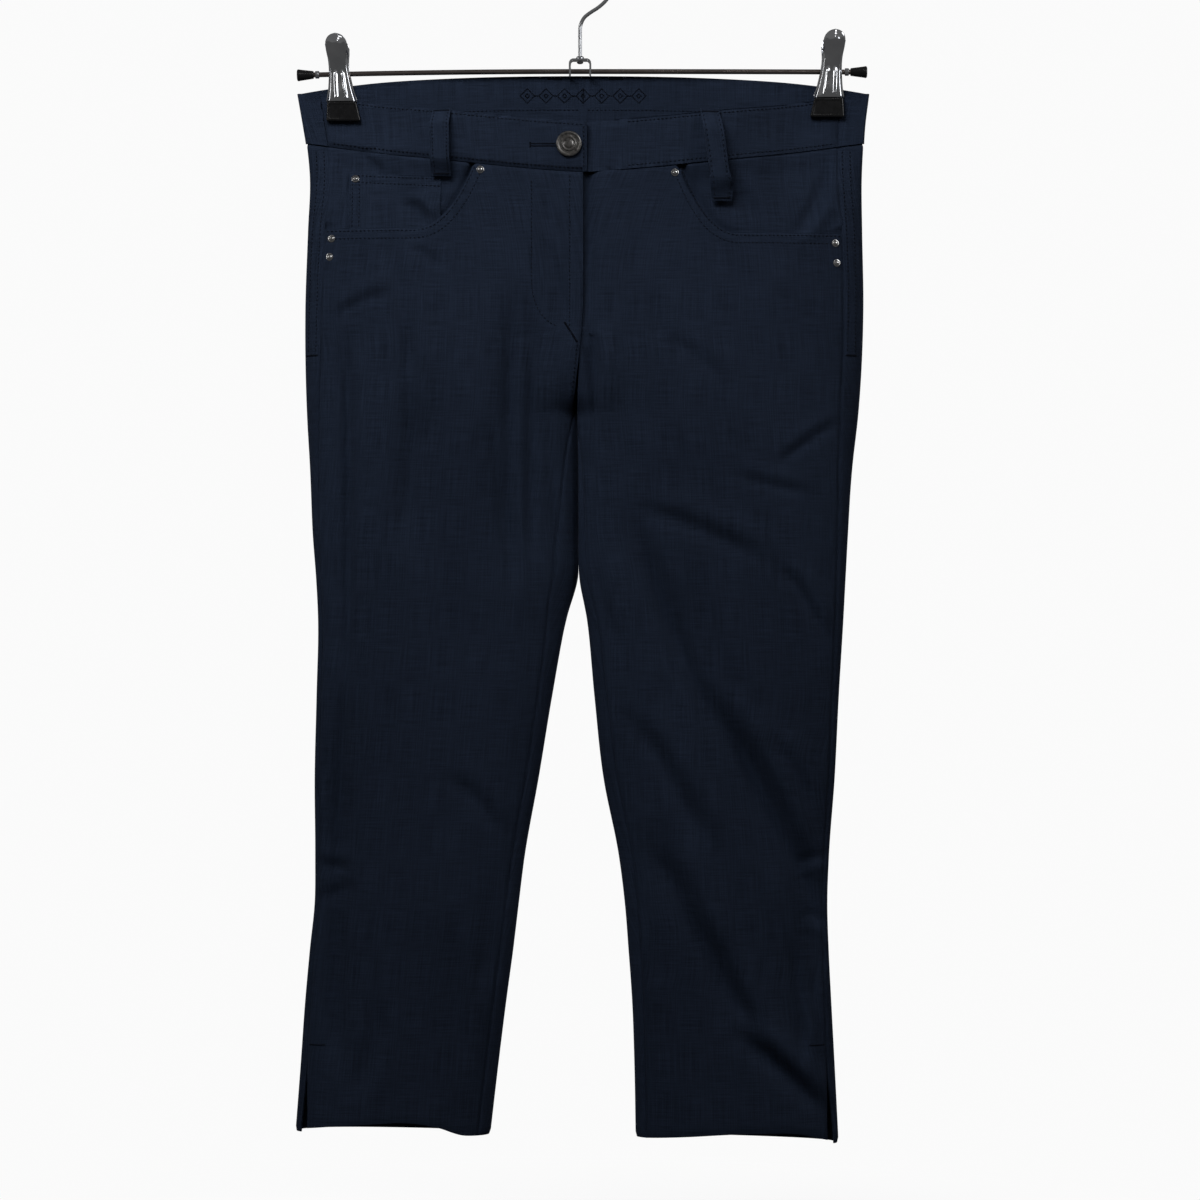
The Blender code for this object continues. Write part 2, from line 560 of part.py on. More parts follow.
BUTTON_PROFILE = [(0.0, 0.0), (3.0, 0.0), (3.2, 0.9), (8.7, 0.9), (BUTTON_RADIUS, 1.6), (9.2, 2.9),
                  (8.1, 3.0), (7.2, 2.3), (3.6, 2.4), (2.9, 2.9), (0.0, 3.1)]
RIVET_PROFILE = [(0.0, 0.0), (RIVET_RADIUS, 0.0), (RIVET_RADIUS, 0.5), (1.9, 1.2), (0.0, RIVET_HEIGHT)]

# leg, x, drop, lift of the cloth's face under the rivet
COIN_FACE = COIN_WALL / 2 - POCKET[LEFT]["setback"] / 2
RIVETS = [
    (LEFT, -168.4, 81.6, COIN_FACE),
    (LEFT, -74.3, 76.4, WALL / 2),
    (RIGHT, 70.9, 78.6, WALL / 2),
    (LEFT, -185.6, 127.3, WALL / 2),
    (LEFT, -187.0, 141.0, WALL / 2),
    (RIGHT, 190.8, 130.8, WALL / 2),
    (RIGHT, 191.8, 145.6, WALL / 2),
]


# ---------------------------------------------------------------- hanger

def bar_drop(x):
    side = LEFT if x < 0 else RIGHT
    return BAR_SAG[side] * (x / BAR_ENDS[side]) ** 2


def wire(name, points, radius, finish, resolution=2):
    """A round wire through points given as x and drop."""
    curve = bpy.data.curves.new(name, "CURVE")
    curve.dimensions = "3D"
    curve.bevel_depth = radius * MM
    curve.bevel_resolution = resolution
    curve.use_fill_caps = True
    spline = curve.splines.new("POLY")
    spline.points.add(len(points) - 1)
    for point, (x, drop) in zip(spline.points, points):
        point.co = (x * MM, 0.0, (BAR_HEIGHT - drop) * MM, 1.0)
    return add_object(name, curve, finish)


def hook_route():
    """Up the shank, through the neck's bend and round the hook to its tip."""
    neck = [(0.0, -7.9), (0.0, -20.0), (0.0, -31.0), (0.6, -35.5), (3.2, -40.6), (8.2, -44.6),
            (14.0, -48.4), (19.6, -53.6)]
    turns = np.linspace(radians(-39), HOOK_TIP_TURN, 34)
    ring = [(HOOK_RADIUS * cos(turn), HOOK_CENTRE_DROP - HOOK_RADIUS * sin(turn)) for turn in turns]
    return neck + ring


def strap(name, path, thickness, low, high, finish, along_x=False):
    """A bent strap: its middle line as (across, drop) points, extruded from low to high."""
    path = np.array(path)
    run = np.gradient(path, axis=0)
    normal = np.stack([run[:, 1], -run[:, 0]], axis=1) / np.linalg.norm(run, axis=1)[:, None]
    sides = []
    for offset in (thickness / 2, -thickness / 2):
        line = path + normal * offset
        across, drop = (np.repeat(line[:, i:i + 1], 2, axis=1) for i in (0, 1))
        edge = np.tile([low, high], (len(path), 1))
        sides.append(in_row_frame(edge, across, drop) if along_x else in_row_frame(across, edge, drop))
    return wall(name, sides[0], sides[1], finish)


def cylinder_cutter(name, radius, length, place, turn):
    bm = bmesh.new()
    bmesh.ops.create_cone(bm, cap_ends=True, segments=16, radius1=radius * MM, radius2=radius * MM,
                          depth=length * MM)
    mesh_data = bpy.data.meshes.new(name)
    bm.to_mesh(mesh_data)
    bm.free()
    cutter = bpy.data.objects.new(name, mesh_data)
    cutter.matrix_world = Matrix.Translation(place) @ turn
    cutter.hide_render = True
    cutter.display_type = "WIRE"
    bpy.context.scene.collection.objects.link(cutter)
    return cutter


def hook_bracket(finish):
    """The strap under the hook: a plate with two legs that the bar runs through."""
    half, top, foot = BRACKET_HALF_WIDTH, BRACKET_TOP_DROP, BRACKET_FOOT_DROP
    corner = 1.8
    bends = [(half - corner + corner * sin(a), top + corner - corner * cos(a))
             for a in np.linspace(0, pi / 2, 4)]
    right_half = bends + [(half + 0.4, -3.5), (half + 0.2, 0.0), (half + 0.2, foot)]
    path = [(-x, drop) for x, drop in reversed(right_half)] + [(0.0, top)] + right_half
    made = strap("hook_bracket", path, BRACKET_THICKNESS, -BRACKET_STRAP / 2, BRACKET_STRAP / 2, finish)
    cutters = [
        cylinder_cutter("cut_bar", BAR_RADIUS + CLEARANCE, 40.0, (0, 0, BAR_HEIGHT * MM),
                        Matrix.Rotation(pi / 2, 4, "Y")),
        cylinder_cutter("cut_hook", HOOK_WIRE + CLEARANCE, 8.0, (0, 0, (BAR_HEIGHT - top) * MM),
                        Matrix.Identity(4)),
    ]
    for cutter in cutters:
        cut = made.modifiers.new(cutter.name, "BOOLEAN")
        cut.object = cutter
    return made


def clip_place(leg, x, drop):
    """Lean a clip outwards and shift it along its own height."""
    return CLIP_X[leg] + x + leg * CLIP_LEAN * (PAD_TOP - drop), drop + CLIP_SHIFT[leg]


def clip_leaf(leg, face, finish):
    across = np.linspace(-1.0, 1.0, 5)[:, None]
    x, drop = clip_place(leg, across * LEAF["half_width"], LEAF["drop"] + 0.0 * across)
    crown = 0.7 * (1 - across ** 2)
    outer, inner = (in_row_frame(x, face * (LEAF["standoff"] + crown + offset), drop)
                    for offset in (LEAF_THICKNESS / 2, -LEAF_THICKNESS / 2))
    return wall(clip_name(leg, "leaf", face), outer, inner, finish)


def clip_pad(leg, face, finish):
    near = BAND_WALL + 0.45 + CLEARANCE
    bm = bmesh.new()
    bmesh.ops.create_cube(bm, size=1.0)
    upright = [edge for edge in bm.edges
               if edge.verts[0].co.x == edge.verts[1].co.x and edge.verts[0].co.z == edge.verts[1].co.z]
    height = PAD_FOOT - PAD_TOP
    for vert in bm.verts:
        x, drop = clip_place(leg, vert.co.x * 2 * PAD_HALF_WIDTH, PAD_TOP + (0.5 - vert.co.z) * height)
        y = face * (near + (vert.co.y + 0.5) * PAD_THICKNESS)
        vert.co = (x * MM, y * MM, (BAR_HEIGHT - drop) * MM)
    bmesh.ops.bevel(bm, geom=upright, affect="EDGES", offset=1.6 * MM, segments=2, profile=0.5, material=-1)
    return add_mesh(clip_name(leg, "pad", face), bm, finish)


def clip_spring(leg, finish):
    """The spring band between the leaves, over the bar."""
    arch = [(-SPRING_RADIUS * cos(a), -SPRING_RADIUS * sin(a)) for a in np.linspace(0, pi, 9)]
    path = [(-SPRING_RADIUS - 0.3, SPRING_FOOT)] + arch + [(SPRING_RADIUS + 0.3, SPRING_FOOT)]
    middle, shift = clip_place(leg, 0.0, 0.0)
    path = [(across, drop + shift) for across, drop in path]
    return strap("clip_" + SIDE_NAME[leg] + "_spring", path, SPRING_THICKNESS,
                 middle - SPRING_HALF_WIDTH, middle + SPRING_HALF_WIDTH, finish, along_x=True)


def clip_name(leg, piece, face):
    return "clip_" + SIDE_NAME[leg] + "_" + piece + ("_front" if face == FRONT else "_rear")


def bar_cap(leg, finish):
    """The cone that closes an end of the bar: a socket with the bar's end inside."""
    depth = CAP_LENGTH - 1.6
    hole = BAR_RADIUS + CLEARANCE
    profile = [(0.0, depth), (hole, depth), (hole, 0.0), (CAP_RADIUS_INNER, 0.0),
               (CAP_RADIUS_OUTER, CAP_LENGTH - 1.0), (CAP_RADIUS_OUTER - 0.8, CAP_LENGTH),
               (0.0, CAP_LENGTH)]
    made = turned("bar_cap_" + SIDE_NAME[leg], profile, finish, segments=14)
    end = BAR_ENDS[leg]
    slope = 2 * bar_drop(end) / end
    made.rotation_euler = (0.0, leg * pi / 2 + atan2(slope, 1.0), 0.0)
    start = end - leg * (depth - CLEARANCE)
    made.location = (start * MM, 0.0, (BAR_HEIGHT - bar_drop(start)) * MM)
    return made


# ---------------------------------------------------------------- the part

for old in list(bpy.data.objects):
    bpy.data.objects.remove(old)

cloth = material("navy cloth", (0.016, 0.021, 0.036), 0.85)
band_cloth = material("waistband cloth", (0.018, 0.023, 0.038), 0.85)
tape = material("zip tape", (0.012, 0.014, 0.022), 0.7)
pewter = material("aged pewter", (0.22, 0.20, 0.18), 0.4, 1.0)
nickel = material("bright nickel", (0.62, 0.61, 0.60), 0.25, 1.0)
chrome = material("chrome", (0.75, 0.75, 0.76), 0.12, 1.0)
bar_steel = material("bar steel", (0.20, 0.16, 0.14), 0.35, 1.0)
rubber = material("black rubber", (0.008, 0.008, 0.009), 0.55)

for leg in (LEFT, RIGHT):
    front_panel(leg, cloth)
    back_panel(leg, cloth)
    pocket_facing(leg, cloth)
front_band(LEFT, BAND_LAP_X, band_cloth)
front_band(RIGHT, BAND_UNDERLAP_X, band_cloth)
back_band(band_cloth)
coin_pocket(cloth)
zip_strip(tape)
for loop in LOOPS:
    belt_loop(*loop, band_cloth)

button = turned("button", BUTTON_PROFILE, pewter, segments=24)
on_cloth(button, LEFT, BUTTON_X, BUTTON_DROP, BAND_WALL / 2 + CLEARANCE)
for number, (leg, x, drop, lift) in enumerate(RIVETS, start=1):
    rivet = turned("rivet_%d" % number, RIVET_PROFILE, nickel, segments=12)
    on_cloth(rivet, leg, x, drop, lift + CLEARANCE)

bar_points = [(x, bar_drop(x)) for x in np.linspace(BAR_ENDS[LEFT], BAR_ENDS[RIGHT], 19)]
wire("hanger_bar", bar_points, BAR_RADIUS, bar_steel)
wire("hook", hook_route(), HOOK_WIRE, chrome)
hook_bracket(chrome)
collar_ring = [(1.7, 0.0), (3.0, 0.0), (2.4, 1.8), (1.7, 1.8), (1.7, 0.0)]
collar = turned("hook_collar", collar_ring, chrome, segments=14)
collar.location = (0.0, 0.0, (BAR_HEIGHT - BRACKET_TOP_DROP + BRACKET_THICKNESS / 2 + CLEARANCE) * MM)
knob = turned("hook_knob", [(0.0, 0.0), (1.4, 0.3), (2.5, 1.1), (2.5, 1.5), (1.2, 2.2), (0.0, 2.2)], chrome,
              segments=14)
knob.location = (0.0, 0.0, (BAR_HEIGHT - BRACKET_TOP_DROP - BRACKET_THICKNESS / 2 - CLEARANCE - 2.2) * MM)
for leg in (LEFT, RIGHT):
    bar_cap(leg, rubber)
    clip_spring(leg, chrome)
    for face in (FRONT, BACK):
        clip_leaf(leg, face, chrome)
        clip_pad(leg, face, rubber)
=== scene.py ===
"""Capri pants on a clip hanger: the looks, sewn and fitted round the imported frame.

The sections follow the order in which the pants are cut, sewn, trimmed and hung up. Sizes are in
millimetres and MM turns them into metres. A "drop" is a distance below the axis of the hanger's
bar, and left and right are the viewer's.
"""
from math import cos, hypot, pi, radians, sin

import bmesh
import bpy
import numpy as np
from mathutils import Matrix, Vector


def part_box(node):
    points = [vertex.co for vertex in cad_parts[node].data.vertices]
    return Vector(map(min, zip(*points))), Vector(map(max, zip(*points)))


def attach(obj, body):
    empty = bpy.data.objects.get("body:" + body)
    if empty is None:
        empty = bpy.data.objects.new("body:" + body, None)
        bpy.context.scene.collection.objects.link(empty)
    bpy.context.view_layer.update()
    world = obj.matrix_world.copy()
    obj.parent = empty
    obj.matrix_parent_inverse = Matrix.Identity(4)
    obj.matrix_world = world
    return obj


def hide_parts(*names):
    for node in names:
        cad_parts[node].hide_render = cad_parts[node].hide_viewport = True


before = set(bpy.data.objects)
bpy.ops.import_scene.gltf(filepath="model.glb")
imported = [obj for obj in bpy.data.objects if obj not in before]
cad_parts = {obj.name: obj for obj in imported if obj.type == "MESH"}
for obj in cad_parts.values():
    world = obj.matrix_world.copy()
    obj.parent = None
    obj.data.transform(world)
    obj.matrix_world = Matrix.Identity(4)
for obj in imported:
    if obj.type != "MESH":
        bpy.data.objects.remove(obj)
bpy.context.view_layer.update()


# ================================================================ the navy cloth
# A ribbed stretch twill of polyamide and cotton, piece dyed navy. Fine ribs run across the leg,
# the yarns are a little uneven, and the face has a slight sheen.

def new_group(name, inputs, outputs):
    """A shader node group with named number inputs and named outputs of (name, kind)."""
    group = bpy.data.node_groups.new(name, "ShaderNodeTree")
    for label, value in inputs:
        socket = group.interface.new_socket(label, in_out="INPUT", socket_type="NodeSocketFloat")
        socket.default_value = value
    for label, kind in outputs:
        group.interface.new_socket(label, in_out="OUTPUT", socket_type="NodeSocket" + kind)
    return group, group.nodes.new("NodeGroupInput"), group.nodes.new("NodeGroupOutput")


def feed(tree, node, links):
    """Link source sockets to a node's inputs, and set the constants on them."""
    for key, source in dict(links).items():
        if isinstance(source, bpy.types.NodeSocket):
            tree.links.new(source, node.inputs[key])
        else:
            node.inputs[key].default_value = source


def add_node(tree, kind, settings=(), links=()):
    """A node with its settings, fed by (input, source socket or constant) pairs."""
    node = tree.nodes.new("ShaderNode" + kind)
    for key, value in dict(settings).items():
        setattr(node, key, value)
    feed(tree, node, links)
    return node


def add_math(tree, operation, *values, clamped=False):
    """The result of a sum on sockets and constants."""
    node = add_node(tree, "Math", {"operation": operation, "use_clamp": clamped}, enumerate(values))
    return node.outputs[0]


def mix_colours(tree, share, first, second):
    """A colour that goes from the first to the second with the share."""
    mix = add_node(tree, "Mix", {"data_type": "RGBA"},
                   {"Factor": share, "A": (*first, 1.0), "B": (*second, 1.0)})
    return mix.outputs["Result"]


def place_group(tree, group, values):
    """The outputs of a node group placed in a tree with its own values."""
    node = tree.nodes.new("ShaderNodeGroup")
    node.node_tree = group
    feed(tree, node, values)
    return node.outputs


def new_material(name):
    """An empty material, with its node tree and its Principled shader."""
    made = bpy.data.materials.new(name)
    made.use_nodes = True
    return made, made.node_tree, made.node_tree.nodes["Principled BSDF"]


def yarn_streaks(tree, flat, across, along, detail=2.0):
    """Uneven yarn: noise stretched so that it repeats across times a metre one way, along the other."""
    stretch = add_node(tree, "Mapping", links={"Vector": flat, "Scale": (across, along, 1.0)})
    noise = add_node(tree, "TexNoise", {"noise_dimensions": "2D"},
                     {"Vector": stretch.outputs[0], "Scale": 1.0, "Detail": detail})
    return noise.outputs[0]


def make_weave_group():
    """Ribbed weave on a sheet's own UV map in metres: a shade of random yarn tone plus a painted highlight on
    the ribs, a height and a worn sheen.
    """
    group, given, result = new_group(
        "ribbed weave", [("Ribs per Metre", 1900.0), ("Rib Depth", 0.5), ("Slub", 0.5)],
        [("Shade", "Float"), ("Height", "Float"), ("Worn", "Float")])
    ribs_per_metre, rib_depth, slub_share = given.outputs[:3]
    flat = add_node(group, "UVMap", {"uv_map": "cut"}).outputs[0]
    across, down, _ = add_node(group, "SeparateXYZ", links={0: flat}).outputs
    # ribs that waver as they run across the leg, crossed by a fainter warp
    waver = yarn_streaks(group, flat, 90.0, 160.0)
    lift = add_math(group, "MULTIPLY_ADD", waver, 0.0012, down)
    turns = add_math(group, "MULTIPLY", ribs_per_metre, 2 * pi)
    rib = add_math(group, "SINE", add_math(group, "MULTIPLY", lift, turns))
    warp = add_math(group, "COSINE", add_math(group, "MULTIPLY", across, turns))
    cross = add_math(group, "MULTIPLY_ADD", warp, 0.45, rib)
    # uneven yarns both ways, and a slow change of shade over the whole sheet
    weft = yarn_streaks(group, flat, 45.0, 1400.0)
    warp_streak = yarn_streaks(group, flat, 1100.0, 30.0)
    both = add_math(group, "ADD", weft, warp_streak)
    slubs = add_math(group, "MULTIPLY", add_math(group, "MULTIPLY_ADD", both, 0.5, -0.5), slub_share)
    blotch = yarn_streaks(group, flat, 9.0, 6.0, detail=4.0)
    cloudy = add_math(group, "MULTIPLY_ADD", blotch, 0.50, -0.25)
    shade = add_math(group, "MULTIPLY_ADD", slubs, 0.9, cloudy)
    # painted highlight: the rib crests lighten the dye, as light catching the ridges would
    painted_rib_highlight = add_math(group, "MULTIPLY_ADD", cross, 0.06, shade)
    height = add_math(group, "MULTIPLY_ADD", slubs, 1.6, add_math(group, "MULTIPLY", cross, rib_depth))
    feed(group, result, {0: painted_rib_highlight, 1: height, 2: cloudy})
    return group


weave = make_weave_group()


def shades_of(colour, dark, light):
    return [part * dark for part in colour], [part * light for part in colour]


def make_cloth(name, colour, ribs=1900.0, rib_depth=0.5, slub=2.2, sheen=0.02, relief=0.00012):
    """Dyed cloth: the weave shades the dye with random yarn tone and a painted highlight on its ribs,
    roughens it and stands up as a bump.
    """
    made, tree, shader = new_material(name)
    woven = place_group(tree, weave, {"Ribs per Metre": ribs, "Rib Depth": rib_depth, "Slub": slub})
    lighter = add_math(tree, "ADD", woven["Shade"], 0.5, clamped=True)
    bump = add_node(tree, "Bump", links={"Strength": 0.8, "Distance": relief, "Height": woven["Height"]})
    feed(tree, shader, {
        "Base Color": mix_colours(tree, lighter, *shades_of(colour, 0.55, 1.45)),
        "Roughness": add_math(tree, "MULTIPLY_ADD", woven["Worn"], -0.5, 0.72),
        "Normal": bump.outputs[0], "Specular IOR Level": 0.05,
        "Sheen Weight": sheen, "Sheen Roughness": 0.45, "Sheen Tint": (0.45, 0.55, 0.85, 1.0)})
    return made


NAVY = (0.0062, 0.0092, 0.0168)
navy_cloth = make_cloth("navy twill", NAVY)


# ================================================================ the fronts of the legs
# Each front is cut in one piece from waist to hem, with a scooped pocket mouth at its top corner
# and a slit at the foot of its side seam. The left one laps over the right one at the fly.

MM = 0.001
LEFT, RIGHT = -1, 1
SIDE_NAME = {LEFT: "left", RIGHT: "right"}
FRONT, BACK = -1, 1
BAR_RADIUS = 1.9
BAR_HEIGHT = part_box("hanger_bar")[1].z / MM - BAR_RADIUS
CLIP_X = {LEFT: -178.8, RIGHT: 186.8}
WALL, BAND_WALL, CLEARANCE, SEAM_GAP = 1.2, 2.4, 0.3, 0.04
BAND_HEIGHT = 37.5
SIDE_SEAM_TOP = 57.0
ROUNDNESS = 2.4
FORK_DROP, FRONT_RISE, BACK_RISE = 256.5, 62.0, 90.0
MIDDLE_AT_WAIST = 2.2
WAIST_HALF = {LEFT: 206.8, RIGHT: 210.2}
RIM_FRONT, RIM_SIDE, RIM_BACK = 40.3, 17.0, 2.7
INNER_THIGH_GAP, THIGH_SHEAR, THIGH_BEND = 0.9, 3.2, 7.0
PINCH_FLAT, PINCH_REACH, PINCH_FOOT, PINCH_FADE = 18.0, 38.0, 38.0, 45.0
SLIT_DROP, SLIT_HALF_GAP, HEM_DROP = 734.0, 2.8, 796.0
POCKET = {LEFT: {"mouth": -79.5, "width": 45.0, "foot": 120.0, "setback": 3.0},
          RIGHT: {"mouth": 76.5, "width": 43.0, "foot": 123.6, "setback": 3.0}}
POCKET_CURVE = 2.3
FLY_UNDERLAP, FLY_SETBACK, FLY_GROOVE = 6.0, 1.9, 5.5
UNDERLAP_ENDS, SETBACK_ENDS = (196.0, 222.0), (226.0, 250.0)

OUTLINE = np.array([
    # drop, left_out, left_in, middle, right_in, right_out, front, back, heart
    (0, -214.5, 0, 2.2, 0, 218.5, 19.5, 6.0, 0.04),
    (20, -211.0, 0, 2.2, 0, 216.0, 21.0, 6.5, 0.05),
    (40, -207.5, 0, 2.2, 0, 213.5, 22.0, 8.0, 0.08),
    (60, -204.3, 0, 2.2, 0, 212.2, 22.5, 10.5, 0.14),
    (80, -202.6, 0, 2.2, 0, 211.3, 23.0, 13.5, 0.20),
    (120, -204.0, 0, 2.2, 0, 211.6, 25.0, 19.0, 0.33),
    (180, -206.0, 0, 2.0, 0, 212.5, 27.0, 25.0, 0.45),
    (256.5, -204.8, -2.9, -2.0, -1.1, 208.8, 27.0, 28.0, 0.50),
    (300, -202.4, -2.3, -1.3, -0.3, 204.0, 26.0, 28.0, 0.50),
    (350, -200.3, -2.6, -1.2, 0.2, 200.8, 24.5, 26.0, 0.50),
    (380, -198.0, -3.2, -1.2, 1.0, 199.2, 23.2, 25.0, 0.50),
    (410, -196.5, -10.5, -1.2, 5.6, 197.6, 22.0, 24.0, 0.50),
    (470, -197.6, -21.6, -1.2, 11.4, 194.0, 20.5, 22.0, 0.50),
    (530, -199.0, -31.5, -1.2, 18.0, 191.0, 19.5, 21.0, 0.50),
    (590, -198.6, -42.2, -1.2, 29.8, 186.6, 19.0, 20.0, 0.50),
    (625, -199.0, -46.6, -1.2, 34.2, 185.4, 19.0, 20.0, 0.50),
    (660, -202.6, -50.8, -1.2, 37.0, 186.4, 19.0, 20.0, 0.50),
    (700, -206.2, -56.2, -1.2, 39.8, 188.4, 19.5, 20.5, 0.50),
    (745, -209.4, -61.8, -1.2, 41.4, 190.8, 20.5, 21.0, 0.50),
    (800, -213.6, -68.2, -1.2, 42.4, 193.6, 21.5, 22.0, 0.50),
], dtype=[(name, float) for name in (
    "drop", "left_out", "left_in", "middle", "right_in", "right_out", "front", "back", "heart")])

# How far each seam lies in from the edge of its leg, on the front of the garment
SEAMS = np.array([
    # drop, left_side, right_side, left_inseam, right_inseam
    (0, 15.0, 18.5, 0, 0),
    (57, 15.0, 18.5, 0, 0),
    (120, 13.0, 15.5, 0, 0),
    (200, 12.2, 15.2, 0, 0),
    (256.5, 9.5, 14.0, 0, 0),
    (290, 7.0, 11.0, 5.5, 4.0),
    (325, 5.0, 8.6, 9.5, 6.0),
    (375, 3.6, 7.0, 14.5, 7.5),
    (440, 3.0, 5.5, 11.0, 8.0),
    (530, 3.0, 4.2, 9.0, 10.0),
    (660, 3.4, 3.8, 9.0, 8.5),
    (734, 4.6, 5.6, 8.6, 7.5),
    (800, 6.4, 5.2, 8.8, 7.2),
], dtype=[(name, float) for name in (
    "drop", "left_side", "right_side", "left_inseam", "right_inseam")])

# The hem of each front, from the side slit (0) to the inseam (1)
HEM = np.array([
    (0.0, 793.0, 802.0),
    (0.16, 791.0, 796.8),
    (0.35, 789.3, 796.0),
    (0.6, 788.2, 797.2),
    (0.76, 791.6, 798.6),
    (0.92, 798.0, 799.8),
    (1.0, 798.6, 800.4),
], dtype=[("across", float), ("left", float), ("right", float)])

CREASE_DEPTH = 2.3
